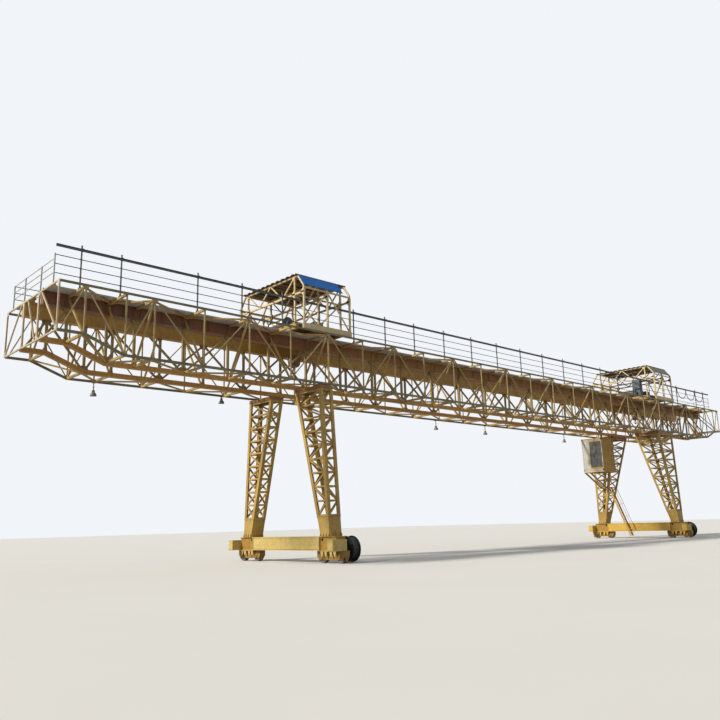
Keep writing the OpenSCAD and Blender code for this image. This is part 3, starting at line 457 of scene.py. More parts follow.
def sheet(under, thick, way):
    """A thin sheet: a grid of points and the same grid moved by its thickness, closed round the edge."""
    rows, cols = under.shape[:2]
    count = rows * cols
    points = np.concatenate([under.reshape(-1, 3), under.reshape(-1, 3) + thick * way])
    index = np.arange(count).reshape(rows, cols)
    cells = np.stack([index[:-1, :-1], index[1:, :-1], index[1:, 1:], index[:-1, 1:]], -1).reshape(-1, 4)
    edge = np.concatenate([index[0], index[1:, -1], index[-1, -2::-1], index[-2:0:-1, 0]])
    rim = np.stack([edge, np.roll(edge, -1)], -1)
    return points[None], [cells[:, ::-1], cells + count, np.concatenate([rim, rim[:, ::-1] + count], -1)]


def swept(paths, outline, up=(0, 0, 1)):
    """An outline carried along each path: point = path + side * u + lift * v, where side is square
    to the path's direction and to up, and lift is square to both."""
    paths = np.asarray(paths, float)
    if paths.ndim == 2:
        paths = paths[None]
    ahead = unit(np.gradient(paths, axis=1))
    side = unit(np.cross(ahead, up))
    lift = np.cross(side, ahead)
    outline = np.asarray(outline, float)
    points = paths[:, :, None] + side[:, :, None] * outline[:, :1] + lift[:, :, None] * outline[:, 1:]
    k, rings, sides = points.shape[:3]
    return points.reshape(k, rings * sides, 3), tube_faces(rings, sides)


def turned(profile, places, axis, sides=16):
    """A profile of (along, radius) turned about an axis: point = place + axis * along + circle * radius."""
    profile = np.asarray(profile, float)
    axis = unit(axis)
    first = unit(np.cross(axis, X if abs(axis[0]) < 0.9 else Y))
    around = circle(1.0, sides) @ np.stack([first, np.cross(axis, first)])
    shape = profile[:, None, :1] * axis + profile[:, None, 1:] * around
    places = np.atleast_2d(places).astype(float)
    return shape.reshape(1, -1, 3) + places[:, None], tube_faces(len(profile), sides)


def ring_shape(profile, places, axis, sides=24):
    """A closed profile of (along, radius) turned about an axis, so that it leaves its middle open."""
    copies, rows = turned(list(profile) + [profile[0]], places, axis, sides)
    n = sides * len(profile)
    walls = rows[0] % n
    return copies[:, :n], [walls]


def bolts(places, axis, size):
    """Six-sided heads that stand on a surface: size is across the corners."""
    return turned([(-size * 0.2, size / 2), (size * 0.45, size / 2)], places, axis, 6)


def plates(outline, places, across, up, thick):
    """A flat outline with the directions across and up, thickened evenly along their cross product."""
    places = np.atleast_2d(places).astype(float)
    across, up = np.atleast_2d(across).astype(float), np.atleast_2d(up).astype(float)
    outline = np.asarray(outline, float)
    face = outline[:, :1] * across[:, None] + outline[:, 1:] * up[:, None]
    out = unit(np.cross(across, up))[:, None] * thick / 2
    shape = np.concatenate([face - out, face + out], axis=1)
    return shape + places[:, None], tube_faces(2, len(outline))


def on_plates(offsets, places, across, up):
    """The places of fasteners: each plate's place plus each offset along its across and up."""
    places = np.atleast_2d(places).astype(float)
    across, up = np.atleast_2d(across).astype(float), np.atleast_2d(up).astype(float)
    offsets = np.asarray(offsets, float)
    return (places[:, None] + offsets[:, :1] * across[:, None] + offsets[:, 1:] * up[:, None]).reshape(-1, 3)


def piece(name, slot, body, *shapes, finish=None):
    """Joins shapes, each k copies of n points with their faces, in one mesh whose faces point outward."""
    points, faces, count = [], [], 0
    for copies, rows in shapes:
        k, n = copies.shape[:2]
        start = count + np.arange(k) * n
        faces += [(row[None] + start[:, None, None]).reshape(-1, row.shape[1]) for row in rows]
        points.append(copies.reshape(-1, 3))
        count += k * n
    mesh = bpy.data.meshes.new(name)
    places = np.concatenate(points).astype(np.float32)
    loops = np.concatenate([row.ravel() for row in faces]).astype(np.int32)
    sizes = np.concatenate([np.full(len(row), row.shape[1]) for row in faces]).astype(np.int32)
    mesh.vertices.add(len(places))
    mesh.vertices.foreach_set("co", places.ravel())
    mesh.loops.add(len(loops))
    mesh.loops.foreach_set("vertex_index", loops)
    mesh.polygons.add(len(sizes))
    mesh.polygons.foreach_set("loop_start", (np.cumsum(sizes) - sizes).astype(np.int32))
    mesh.update(calc_edges=True)
    work = bmesh.new()
    work.from_mesh(mesh)
    bmesh.ops.recalc_face_normals(work, faces=work.faces)
    work.to_mesh(mesh)
    work.free()
    mesh.shade_smooth()
    mesh.set_sharp_from_angle(angle=SHARP_ANGLE)
    obj = bpy.data.objects.new(name, mesh)
    bpy.context.scene.collection.objects.link(obj)
    mesh.materials.append(FINISHES[finish or slot])
    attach(obj, body)
    return obj


FLOOR_HALF = 120.0
FLOOR_CORNERS = ((-1, -1), (1, -1), (1, 1), (-1, 1))
SKY_COLOUR = (0.93, 0.96, 1.0, 1.0)
SKY_AS_LIGHT = 0.34
SKY_AS_SEEN = 0.95
SUN_WAY = (0.80, -0.22, -0.56)
SUN_STRENGTH = 3.9
SUN_SPREAD = math.radians(6)
SUN_COLOUR = (1.0, 0.95, 0.84)


def pale_floor():
    """A plain pale floor, darker in the light that it throws back than where the camera sees it."""
    mesh = bpy.data.meshes.new("floor")
    mesh.from_pydata([(FLOOR_HALF * x, FLOOR_HALF * y, 0) for x, y in FLOOR_CORNERS], [], [(0, 1, 2, 3)])
    ground = bpy.data.objects.new("floor", mesh)
    bpy.context.scene.collection.objects.link(ground)
    w = Wiring("floor_pale")
    seen = w.add("ShaderNodeLightPath").outputs["Is Camera Ray"]
    shown = w.blend(w.noise(0.4), (0.70, 0.69, 0.67), (0.75, 0.74, 0.72))
    w.join(w.blend(seen, (0.40, 0.39, 0.37), shown), w.shader.inputs["Base Color"])
    w.shader.inputs["Roughness"].default_value = 0.9
    mesh.materials.append(w.material)


def soft_sky():
    """An even sky, brighter where the camera or a reflection sees it than in the light that it gives."""
    scene = bpy.context.scene
    scene.view_settings.view_transform = "Standard"
    world = bpy.data.worlds.new("sky")
    scene.world = world
    world.use_nodes = True
    tree = world.node_tree
    back = tree.nodes["Background"]
    back.inputs["Color"].default_value = SKY_COLOUR
    paths = tree.nodes.new("ShaderNodeLightPath")
    most = tree.nodes.new("ShaderNodeMath")
    most.operation = "MAXIMUM"
    tree.links.new(paths.outputs["Is Camera Ray"], most.inputs[0])
    tree.links.new(paths.outputs["Is Glossy Ray"], most.inputs[1])
    level = tree.nodes.new("ShaderNodeMapRange")
    level.inputs["To Min"].default_value = SKY_AS_LIGHT
    level.inputs["To Max"].default_value = SKY_AS_SEEN
    tree.links.new(most.outputs["Value"], level.inputs["Value"])
    tree.links.new(level.outputs["Result"], back.inputs["Strength"])


def soft_sun():
    """One soft sun from the photograph's left."""
    data = bpy.data.lights.new("sun", "SUN")
    data.energy = SUN_STRENGTH
    data.angle = SUN_SPREAD
    data.color = SUN_COLOUR
    lamp = bpy.data.objects.new("sun", data)
    tilt = math.acos(-SUN_WAY[2] / np.linalg.norm(SUN_WAY))
    lamp.rotation_euler = (tilt, 0, math.atan2(SUN_WAY[1], SUN_WAY[0]) - math.pi / 2)
    bpy.context.scene.collection.objects.link(lamp)


def finish_nodes():
    """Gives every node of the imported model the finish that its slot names."""
    slots = {row["node"]: row["material_slot"] for row in frame["record"]["subparts"]}
    for name, obj in nodes.items():
        obj.data.materials.clear()
        obj.data.materials.append(FINISHES[NODE_FINISHES.get(name, slots[name])])


def crane_rails():
    """Rail foot, clips in pairs and bolted fishplates."""
    span, clip_pitch, clip_off, joint_off, joint_reach = REACH - 0.02, 0.34, 0.052, 0.0235, 12
    foot = [(-0.055, 0), (0.055, 0), (0.055, 0.006), (0.024, 0.014), (-0.024, 0.014), (-0.055, 0.006)]
    piece("rail_feet", "wheel_steel", "bridge",
          swept([[(-span, y, DECK), (span, y, DECK)] for y in RAIL_LINES], foot))
    along = np.arange(-span + clip_pitch, span - clip_pitch / 2, clip_pitch)
    clip = grid(along, RAIL_LINES, [-clip_off, clip_off])
    clips = points_at(clip[:, 0], clip[:, 1] + clip[:, 2], DECK + 0.010)
    joint = grid(np.linspace(-joint_reach, joint_reach, 5), RAIL_LINES, [-joint_off, joint_off])
    joints = points_at(joint[:, 0], joint[:, 1] + joint[:, 2], DECK + 0.026)
    holes = [(-0.07, 0), (-0.03, 0), (0.03, 0), (0.07, 0)]
    piece("rail_clips", "wheel_steel", "bridge",
          blocks(clips, (0.044, 0.030, 0.008)), bolts(clips + [0, 0, 0.004], Z, 0.020),
          blocks(joints, (0.20, 0.007, 0.020)), bolts(on_plates(holes, joints, X, Z), Y, 0.010))


def end_stops():
    """Two cheeks, a cross plate and a round buffer at each end of both crane rails."""
    from_end, cheek_off, cheek = 0.16, 0.030, 0.012
    outline = np.array([(-0.13, 0), (0.13, 0), (0.13, 0.02), (-0.03, 0.19), (-0.07, 0.19), (-0.07, 0.02),
                        (-0.13, 0.02)])
    buffer = [(0, 0.030), (0.014, 0.030), (0.018, 0.024), (0.030, 0.024)]
    holes = [(-0.10, 0.022), (0.02, 0.022), (0.10, 0.022)]
    places = grid([REACH - from_end], RAIL_LINES, [DECK + 0.004])
    for end, label in LABELS:
        at = places * [end, 1, 1]
        cheeks = [plates(outline * [end, 1], at + side * cheek_off * Y, X, Z, cheek) for side in SIDES]
        piece("end_stops_" + label, "beam_far_paint", "bridge", *cheeks,
              blocks(at + [-0.055 * end, 0, 0.12], (0.016, 0.09, 0.12)),
              turned(buffer, at + [-0.07 * end, 0, 0.135], -end * X),
              bolts(on_plates(holes, at - [0, 0.045, 0], X, Z), Z, 0.014))


def beam_plates():
    """Web stiffeners between the rail beams' flanges and bolted splice plates."""
    stiffener, stiffener_off, splice, splice_off = (0.007, 0.011), 0.005, (0.30, 0.006, 0.20), 0.003
    splice_every, splice_shift, head = 4, 0.3, 0.013
    tall = DECK - BEAM_LOW - 2 * FLANGE
    middle = (DECK + BEAM_LOW) / 2
    starts = np.concatenate([[-REACH], NODE_X])
    stiff = np.concatenate([starts + BEAM_HALF, NODE_X - BEAM_HALF, starts + np.array(BAYS) / 2])
    stiff = stiff[np.abs(stiff) < REACH - 0.05]
    seam_x = NODE_X[splice_every::splice_every] + splice_shift
    holes = grid(np.linspace(-0.13, 0.13, 6), np.linspace(-0.08, 0.08, 4))
    for side, label in LABELS:
        y = MID_Y + side * GIRDER_Y
        shapes = [blocks(grid(stiff, y + (BEAM_HALF + stiffener_off) * BOTH, [middle]), (*stiffener, tall)),
                  blocks(grid(seam_x, y + (BEAM_HALF + splice_off) * BOTH, [middle]), splice)]
        for face in SIDES:
            seams = grid(seam_x, [y + face * (BEAM_HALF + 2 * splice_off)], [middle])
            shapes.append(bolts(on_plates(holes, seams, X, Z), face * Y, head))
        piece("beam_plates_" + label, "beam_%s_paint" % label, "bridge", *shapes)


def joint_plates(places, across, up, outline, holes, thick, out, size):
    """Gusset plates with their bolts on the outer face."""
    heads = on_plates(holes, places, across, up) + out * thick / 2
    return [plates(outline, places, across, up, thick), bolts(heads, out, size)]


def truss_plates():
    """Gussets on both faces of the trusses: large ones where diagonals meet a chord, small ones elsewhere.
    Each row gives a truss's line, face, chord, upper joints, gusset width and height, thickness and bolts."""
    even = NODE_NUMBER % 2 == 0
    low_z = CHORD_Z + rise(NODE_X)
    rows = (("main", "girder_paint", GIRDER_Y, 0.028, CHORD_H / 2, BEAM_LOW, 0.10, 0.085, 0.006, 0.012),
            ("outer", "outer_truss_paint", OUTER_Y, 0.016, OUTER_CHORD / 2, DECK - 0.04,
             0.055, 0.048, 0.004, 0.008))
    for name, finish, line, off, chord, top, wide, tall, thick, head in rows:
        size = np.array([wide, tall])
        big = size * [(-1, 0), (1, 0), (0.62, 1), (-0.62, 1)]
        small = size * [(-0.4, 0), (0.4, 0), (0.3, 0.7), (-0.3, 0.7)]
        big_holes = size * [(0, 0.2), (0, 0.5), (0, 0.8), (0.35, 0.35), (0.55, 0.6),
                            (-0.35, 0.35), (-0.55, 0.6)]
        small_holes = size * [(0, 0.2), (0, 0.5)]
        for side, label in LABELS:
            shapes = []
            for face in SIDES:
                y = MID_Y + side * line + face * off
                for z, up, large in ((low_z + chord, Z, even), (top, -Z, ~even)):
                    at = points_at(NODE_X, y, z)
                    shapes += joint_plates(at[large], X, up, big, big_holes, thick, face * Y, head)
                    shapes += joint_plates(at[~large], X, up, small, small_holes, thick, face * Y, head)
            piece("%s_gussets_%s" % (name, label), "lattice_paint", "bridge", *shapes, finish=finish)


def bracing_plates():
    """Flat gussets under the cross members where the zigzag bracing meets them. Each row gives the places
    of the inner and the outer joints across the crane and the members' underside."""
    inset, thick = 0.056, 0.005
    rows = ((0.600, 1.380, DECK - FLANGE - CROSS_H), (0.580, 1.375, CHORD_Z + rise(NODE_X) - CROSS_H / 2))
    for side, label in LABELS:
        shapes = []
        for inner, outer, under in rows:
            y = np.where(NODE_NUMBER % 2 == 0, inner + inset, outer - inset)
            at = points_at(NODE_X, MID_Y + side * y, under - thick / 2)
            heads = on_plates(four(0.034, 0.02), at - [0, 0, thick / 2], X, Y)
            shapes += [plates(rectangle(0.10, 0.07), at, X, Y, thick), bolts(heads, -Z, 0.011)]
        piece("bracing_plates_" + label, "lattice_paint", "bridge", *shapes)


def walkway_details():
    """Bearers under the plates and rows of raised tread bars on them."""
    inner, wide, pitch = 0.615, 0.360, 0.10
    bearers = np.concatenate([NODE_X[:-1] * (1 - t) + NODE_X[1:] * t for t in (0.25, 0.5, 0.75)])
    for side, label in LABELS:
        middle = MID_Y + side * (inner + wide / 2)
        treads = grid(np.arange(-REACH + 0.08, REACH - 0.04, pitch), [middle], [DECK + 0.001])
        under = grid(bearers, [middle], [DECK - FLANGE - 0.006])
        piece("tread_bars_" + label, "deck_paint", "bridge", blocks(treads, (0.010, wide - 0.04, 0.004)))
        piece("deck_bearers_" + label, "deck_paint", "bridge", blocks(under, (0.008, wide - 0.034, 0.014)))


def railing_details():
    """Sleeves where bars pass the posts, clamps at the posts' feet and caps on them."""
    line, lowest_bar, bars = 1.085, 0.214, 3
    sleeve = [(-0.024, 0.0115), (-0.022, 0.0135), (0.022, 0.0135), (0.024, 0.0115)]
    for side, label, high, pitch in ((-1, "near", 0.860, 0.18), (1, "far", 0.510, 0.14)):
        y = MID_Y + side * line
        sleeves = grid(POST_X, [y], DECK + lowest_bar + pitch * np.arange(bars))
        feet = grid(POST_X, [y], [DECK - FLANGE + 0.004])
        tops = grid(POST_X, [y], [DECK + high - 0.004])
        piece("railing_fittings_" + label, "railing_paint", "bridge", turned(sleeve, sleeves, X, 8),
              blocks(feet, (0.064, 0.044, 0.008)), blocks(feet + [0, 0, 0.022], (0.034, 0.034, 0.040)),
              blocks(tops, (0.030, 0.030, 0.008)),
              bolts(on_plates([(-0.024, 0), (0.024, 0)], feet + [0, 0, 0.004], X, Y), Z, 0.012))


LOOP_HALF = 0.430
LOOP_DEPTH = 0.370
LOOP_COUNT = 3
LOOP_POINTS = 25
LOOPS_FROM_END = 0.6
HOOK_DROP = 0.030


def festoon():
    """Cables that hang in equal arcs: a point is the arc's centre plus the radius times the sine and minus
    the cosine of an angle that runs evenly from one carrier to the next."""
    low, high = corners("cable_track")
    y = (low[1] + high[1]) / 2
    cable, apart = 0.0052, 0.0055 * BOTH
    bend = 2 * math.atan(LOOP_DEPTH / LOOP_HALF)
    radius = LOOP_HALF / math.sin(bend)
    first = REACH - LOOPS_FROM_END - 2 * LOOP_HALF * LOOP_COUNT
    middles = first + LOOP_HALF * (2 * np.arange(LOOP_COUNT) + 1)
    angle = np.linspace(-bend, bend, LOOP_POINTS)
    z = low[2] - HOOK_DROP + radius * (math.cos(bend) - np.cos(angle))
    paths = [points_at(middle + (radius + lift) * np.sin(angle), y + off, z - lift * np.cos(angle))
             for middle, off, lift in grid(middles, apart, apart)]
    hooks = first + 2 * LOOP_HALF * np.arange(LOOP_COUNT + 1)
    at = grid(hooks, [y], [low[2] - HOOK_DROP])
    clamp = [(-0.013, 0.006), (-0.013, 0.016), (0.013, 0.016), (0.013, 0.006)]
    cables = piece("festoon_cables", "cable_rubber", "bridge", swept(paths, circle(cable, 8), up=Y),
                   turned(clamp, at, X, 12))
    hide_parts("cable_loops")
    wheel = grid(hooks, 0.020 * BOTH, y + 0.010 * BOTH)
    wheels = points_at(wheel[:, 0] + wheel[:, 1], wheel[:, 2], low[2] + 0.017)
    tyre = [(-0.004, 0.007), (-0.004, 0.009), (0.004, 0.009), (0.004, 0.007)]
    piece("festoon_carriers", "wheel_steel", "bridge", turned(tyre, wheels, Y, 12),
          blocks(grid(hooks, y + 0.017 * BOTH, [low[2]]), (0.060, 0.003, 0.040)),
          blocks(at + [0, 0, 0.014], (0.020, 0.034, 0.012)), bolts(at + [0, 0.017, 0.014], Y, 0.010))
    holds = grid(POST_X, [high[1] + 0.006], [high[2] + 0.003])
    piece("track_hangers", "railing_paint", "bridge",
          blocks(holds - [0, 0.022, 0], (0.036, 0.068, 0.006)),
          blocks(holds + [0, -0.004, -0.026], (0.036, 0.006, 0.052)),
          bolts(holds - [0, 0.040, -0.003], Z, 0.010))


LAMP_X = np.array([-12.725, -9.400, -1.225, 1.375, 6.425])
LAMP_DROP = np.array([0.300, 0.170, 0.300, 0.300, 0.300])


def lamp_details():
    """Dished glass in each bell, a bead round its rim, cooling ribs, and the clamp on the chord."""
    at = points_at(LAMP_X, MID_Y + OUTER_Y, CHORD_Z - OUTER_CHORD / 2 - LAMP_DROP)
    top = at + points_at(0, 0, LAMP_DROP)
    angle = np.linspace(0, math.pi / 2, 7)
    dish = np.stack([0.020 + 0.008 * np.sin(angle), 0.058 * np.cos(angle) + 0.002], -1)
    piece("lamp_panes", "lamp_metal", "bridge", turned([(0.012, 0.060), *dish], at, Z, 24),
          finish="lamp_glass")
    bead = [(0.000, 0.066), (0.000, 0.0745), (0.006, 0.0748), (0.010, 0.073), (0.010, 0.068)]
    ribs = [(0.092 + 0.010 * i + step, r) for i in range(4) for step, r in ((0, 0.030), (0.004, 0.036))]
    collar = [(-0.02, 0.013), (-0.02, 0.016), (0.01, 0.016), (0.01, 0.013)]
    piece("lamp_fittings", "lamp_metal", "bridge",
          turned(bead, at, Z, 24), turned(ribs, at, Z, 16),
          blocks(top - [0, 0, 0.006], (0.070, 0.046, 0.008)),
          bolts(on_plates([(-0.026, 0), (0.026, 0)], top - [0, 0, 0.010], X, Y), -Z, 0.012),
          turned(collar, (at + top) / 2 + [0, 0, 0.05], Z, 12))


GROUND_Z = corners("ground_beam_near")[0][2]
GROUND_TOP = corners("leg_feet")[0][2]
LEG_LOW = corners("leg_feet")[1][2]
LEG_HIGH = corners("leg_caps")[0][2]
LEG_PANELS = 9
LEG_LACE = 0.040
LEG_BAR = 0.060
INNER_CORNER_Y = (1.400, 0.520)
OUTER_CORNER_Y = (1.650, 1.420)
SLIM_HALF = 0.150
SPREAD_HALF = 0.545
NEAR_LEG_X = middle_of("ground_beam_near")[0]
FAR_LEG_X = middle_of("ground_beam_far")[0]
LEG_FRAMES = (("near", NEAR_LEG_X), ("far", FAR_LEG_X))
Leg = namedtuple("Leg", "name x side foot_half top_half")
LEGS = (Leg("near_leg_right", NEAR_LEG_X, -1, SLIM_HALF, SLIM_HALF),
        Leg("near_leg_left", NEAR_LEG_X, 1, SLIM_HALF, SLIM_HALF),
        Leg("far_leg_right", FAR_LEG_X, -1, SLIM_HALF, SPREAD_HALF),
        Leg("far_leg_left", FAR_LEG_X, 1, SLIM_HALF, SPREAD_HALF))


def leg_corner(leg, sx, outer, z):
    """Centre of a leg's corner bar at a height: each face runs straight from foot to head."""
    share = (z - GROUND_TOP) / (LEG_HIGH - GROUND_TOP)
    foot_y, head_y = OUTER_CORNER_Y if outer else INNER_CORNER_Y
    y = foot_y + share * (head_y - foot_y)
    half = leg.foot_half + share * (leg.top_half - leg.foot_half)
    return points_at(leg.x + sx * half, MID_Y + leg.side * y, z)


def leg_angles():
    """Angle sections on the legs' corner bars: an L outline carried straight from foot to head. Bolts stand
    on both flanges where the lacing meets them."""
    reach, flange, thick, from_end = LEG_BAR / 2 + 0.004, 0.084, 0.005, 0.05
    level = np.linspace(LEG_LOW + LEG_LACE / 2, LEG_HIGH - LEG_LACE / 2, LEG_PANELS + 1)
    level[0] += from_end
    level[-1] -= from_end
    outline = np.array([(reach, reach), (reach - flange, reach), (reach - flange, reach - thick),
                        (reach - thick, reach - thick), (reach - thick, reach - flange),
                        (reach, reach - flange)])
    holes = [(0.004, -0.020), (0.004, 0.020), (0.036, 0.0)]
    ends = np.array([LEG_LOW - 0.020, LEG_HIGH - 0.001])
    for leg in LEGS:
        shapes = []
        for sx in SIDES:
            for outer in (False, True):
                away = leg.side if outer else -leg.side
                shapes.append(swept(leg_corner(leg, sx, outer, ends), outline * [away, sx], up=X))
                at = leg_corner(leg, sx, outer, level)
                up = unit(leg_corner(leg, sx, outer, level + 0.1) - at)
                for across, out in ((-away * Y, sx * X), (-sx * X, away * Y)):
                    heads = on_plates(holes, at + out * reach, across, up)
                    shapes.append(bolts(heads, out, 0.011))
        piece(leg.name + "_angles", "leg_paint", "bridge", *shapes)


def foot_details():
    """Stiffening ribs and bolts round the plates over and under each plated foot."""
    foot_rib = np.array([(0, 0), (0.046, 0), (0.012, 0.085), (0, 0.11)])
    head_rib = np.array([(0, 0), (0.020, 0), (0.006, 0.05), (0, 0.07)])
    thick, plate = 0.008, 0.015
    shapes = []
    for leg in LEGS:
        for z, turn, rib in ((GROUND_TOP + plate, 1, foot_rib), (LEG_LOW - plate, -1, head_rib)):
            inner = leg_corner(leg, 1, False, z)
            outer = leg_corner(leg, 1, True, z)
            half = inner[0] - leg.x + LEG_BAR / 2
            ys = np.linspace(inner[1] - leg.side * 0.02, outer[1] + leg.side * 0.02, 4)
            xs = leg.x + np.linspace(-half + 0.03, half - 0.03, 3)
            for sx in SIDES:
                at = points_at(leg.x + sx * (half - 0.012), ys, z)
                heads = points_at(leg.x + sx * (half - 0.002), (ys[1:] + ys[:-1]) / 2, z)
                shapes += [plates(rib * [sx, turn], at, X, Z, thick), bolts(heads, turn * Z, 0.018)]
            for end in (inner[1] - leg.side * 0.018, outer[1] + leg.side * 0.018):
                way = np.sign(end - (inner[1] + outer[1]) / 2)
                shapes.append(plates(rib * [way, turn], points_at(xs, end, z), Y, Z, thick))
    piece("foot_ribs", "leg_paint", "bridge", *shapes)


def cap_details():
    """Bolt rows and stiffeners on the dark caps between the legs and the lower chords; their dark brown is
    painted shade under the girders.
    """
    z = LEG_HIGH + 0.040
    ys = np.linspace(0.56, 1.38, 7)
    shapes = []
    for leg in LEGS:
        half = leg.top_half + LEG_BAR / 2 + 0.010
        for sx in SIDES:
            heads = points_at(leg.x + sx * half, MID_Y + leg.side * ys, z)
            ribs = points_at(leg.x + sx * (half - 0.004), MID_Y + leg.side * (ys[:-1] + ys[1:]) / 2, z)
            shapes += [bolts(heads, sx * X, 0.018), blocks(ribs, (0.008, 0.010, 0.076))]
    piece("cap_bolts", "cap_paint", "bridge", *shapes)


SADDLE_START = (corners("ground_beam_near")[1][1] - corners("ground_beam_near")[0][1]) / 2
SADDLE_END = corners("saddles")[1][1] - MID_Y
BOGIE_Y = (SADDLE_START + SADDLE_END) / 2


def ground_beam_plates(name, x):
    """Bolted end flanges, a long weld on each web and the rusty edges of the lower flange."""
    low, high, web = GROUND_Z, GROUND_TOP, 0.1655
    flange, flange_inset, head = (0.372, 0.012, 0.285), 0.010, 0.018
    ys = MID_Y + (SADDLE_START - 0.02) * BOTH
    welds = [points_at(x + sx * web, ys, z) for sx, z in grid(SIDES, [low + 0.135, high - 0.022])]
    holes = grid([-0.172, 0.172], np.linspace(-0.11, 0.11, 5))
    shapes = [swept(welds, circle(0.003, 6))]
    for side in SIDES:
        at = np.array([x, MID_Y + side * (SADDLE_START - flange_inset), (low + high) / 2 + 0.008])
        heads = on_plates(holes, at - side * Y * flange[1] / 2, X, Z)
        shapes += [blocks([at], flange), bolts(heads, -side * Y, head)]
    piece("ground_beam_flanges_" + name, "ground_paint", "bridge", *shapes)
    edges = [points_at(x + sx * 0.166, ys, low + 0.015) for sx in SIDES]
    piece("ground_flange_edges_" + name, "ground_paint", "bridge", swept(edges, rectangle(0.004, 0.030)),
          finish="flange_edge_paint")


def saddle_details(name, x):
    """Triangular ribs and a plate under the saddles, rings round their holes and bolted side plates. The
    rings and side plates take the saddle paint, whose darker tone is painted shade of the saddles' recess.
    """
    rib = [(-0.055, 0), (0.055, 0), (0.014, -0.13), (-0.014, -0.13)]
    rib_y = (BOGIE_Y + np.array([-0.22, -0.09, 0.09, 0.22])) * BOTH[:, None]
    ribs = grid(x + 0.145 * BOTH, MID_Y + rib_y.ravel(), [GROUND_Z])
    base = grid([x], MID_Y + BOGIE_Y * BOTH, [GROUND_Z - 0.008])
    piece("saddle_ribs_" + name, "ground_paint", "bridge",
          plates(rib, ribs, Y, Z, 0.010), blocks(base, (0.34, 0.56, 0.014)))
    ring = [(-0.004, 0.036), (-0.004, 0.050), (0.004, 0.050), (0.004, 0.036)]
    hole = grid(x + 0.140 * BOTH, MID_Y + (SADDLE_START + 0.070) * BOTH, [GROUND_TOP - 0.070])
    shapes = [ring_shape(ring, hole, X)]
    door, rivet_grid = (0.006, 0.28, 0.20), grid([-0.12, 0, 0.12], [-0.085, 0.085])
    for sx in SIDES:
        doors = grid([x + sx * 0.142], MID_Y + (SADDLE_START + 0.33) * BOTH, [(GROUND_Z + GROUND_TOP) / 2])
        heads = on_plates(rivet_grid, doors + sx * X * door[0] / 2, Y, Z)
        shapes += [blocks(doors, door), bolts(heads, sx * X, 0.014)]
    piece("saddle_plates_" + name, "saddle_paint", "bridge", *shapes)


def bogie_details(name, x):
    """Axle caps with keeper bolts, wheel rims and a rail sweeper at both ends of each bogie."""
    wheel_off, wheel_z, plate_off, rim_off, sweeper_off, sweeper_z = 0.300, 0.125, 0.080, 0.045, 0.455, 0.165
    cap = [(-0.002, 0.052), (0.014, 0.050), (0.018, 0.044), (0.018, 0.024), (0.024, 0.020)]
    rim = [(-0.004, 0.066), (-0.004, 0.108), (0.003, 0.108), (0.003, 0.066)]
    sweeper = [(-0.05, 0), (0.05, 0), (0.05, -0.05), (0.02, -0.13), (-0.02, -0.13), (-0.05, -0.05)]
    caps, rims, sweepers = [], [], []
    for side, end in grid(SIDES, SIDES):
        bogie = MID_Y + side * BOGIE_Y
        wheel = np.array([x, bogie + end * wheel_off, wheel_z])
        sweepers.append(plates(sweeper, (x, bogie + end * sweeper_off, sweeper_z), X, Z, 0.008))
        for sx in SIDES:
            out = sx * X
            heads = on_plates(circle(0.034, 6), wheel + out * (plate_off + 0.018), Y, Z)
            caps += [turned(cap, wheel + out * plate_off, out, 20), bolts(heads, out, 0.012)]
            rims.append(ring_shape(rim, wheel + out * rim_off, X))
    piece("bogie_caps_" + name, "bogie_paint", "bridge", *caps, *sweepers)
    piece("wheel_rims_" + name, "wheel_steel", "bridge", *rims)


HOUSING_LOW, HOUSING_HIGH = corners("drive_housings")
HOUSING_MID_Z = (HOUSING_LOW[2] + HOUSING_HIGH[2]) / 2
HOUSING_WIDE = 0.410
HOUSING_DEEP = 0.190
HOUSING_START = 0.400
DOOR_SET = 0.008


def housing_shells():
    """Pressed shells with round edges: a round-cornered outline carried across the crane."""
    ends = np.array([SADDLE_END, SADDLE_END + HOUSING_DEEP - DOOR_SET])
    runs = [points_at(x - HOUSING_START + HOUSING_WIDE / 2, MID_Y + side * ends, HOUSING_MID_Z)
            for _, x in LEG_FRAMES for side in SIDES]
    outline = round_rectangle(HOUSING_WIDE, HOUSING_HIGH[2] - HOUSING_LOW[2], 0.014)
    shells = piece("housing_shells", "ground_paint", "bridge", swept(runs, outline))
    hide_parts("drive_housings")


def housing_covers(name, x):
    """Lids with a lip, louvred doors on the outer faces, side covers and bolts on the housings."""
    louvre = np.array([(0, 0), (0.0072, -0.004), (0.0072, -0.010), (0, -0.014)])
    low, high = HOUSING_LOW[2], HOUSING_HIGH[2]
    middle = x - HOUSING_START + HOUSING_WIDE / 2
    near_face = middle - HOUSING_WIDE / 2
    door_x, door_z = middle + 0.10 * BOTH, low + 0.11
    shapes = []
    for side in SIDES:
        y = MID_Y + side * (SADDLE_END + HOUSING_DEEP / 2)
        face = MID_Y + side * (SADDLE_END + HOUSING_DEEP - DOOR_SET)
        doors = grid(door_x, [face - side * 0.003], [door_z])
        slots = grid(door_x, [face - 0.001 * side], low + 0.06 + 0.022 * np.arange(5))
        rims = on_plates(four(0.075, 0.075), grid(door_x, [face + side * 0.001], [door_z]), X, Z)
        edge = grid([near_face - 0.002], y + np.array([-0.07, 0, 0.07]), [low + 0.025, high - 0.025])
        shapes += [blocks([(middle, y, high - 0.004)], (HOUSING_WIDE + 0.016, HOUSING_DEEP, 0.010)),
                   blocks(doors, (0.165, 0.008, 0.17)), plates(louvre * [side, 1], slots, Y, Z, 0.11),
                   bolts(rims, side * Y, 0.011), bolts(edge, -X, 0.012),
                   blocks([(near_face - 0.0015, y, low + 0.12)], (0.005, 0.15, 0.17))]
    piece("housing_covers_" + name, "ground_paint", "bridge", *shapes)


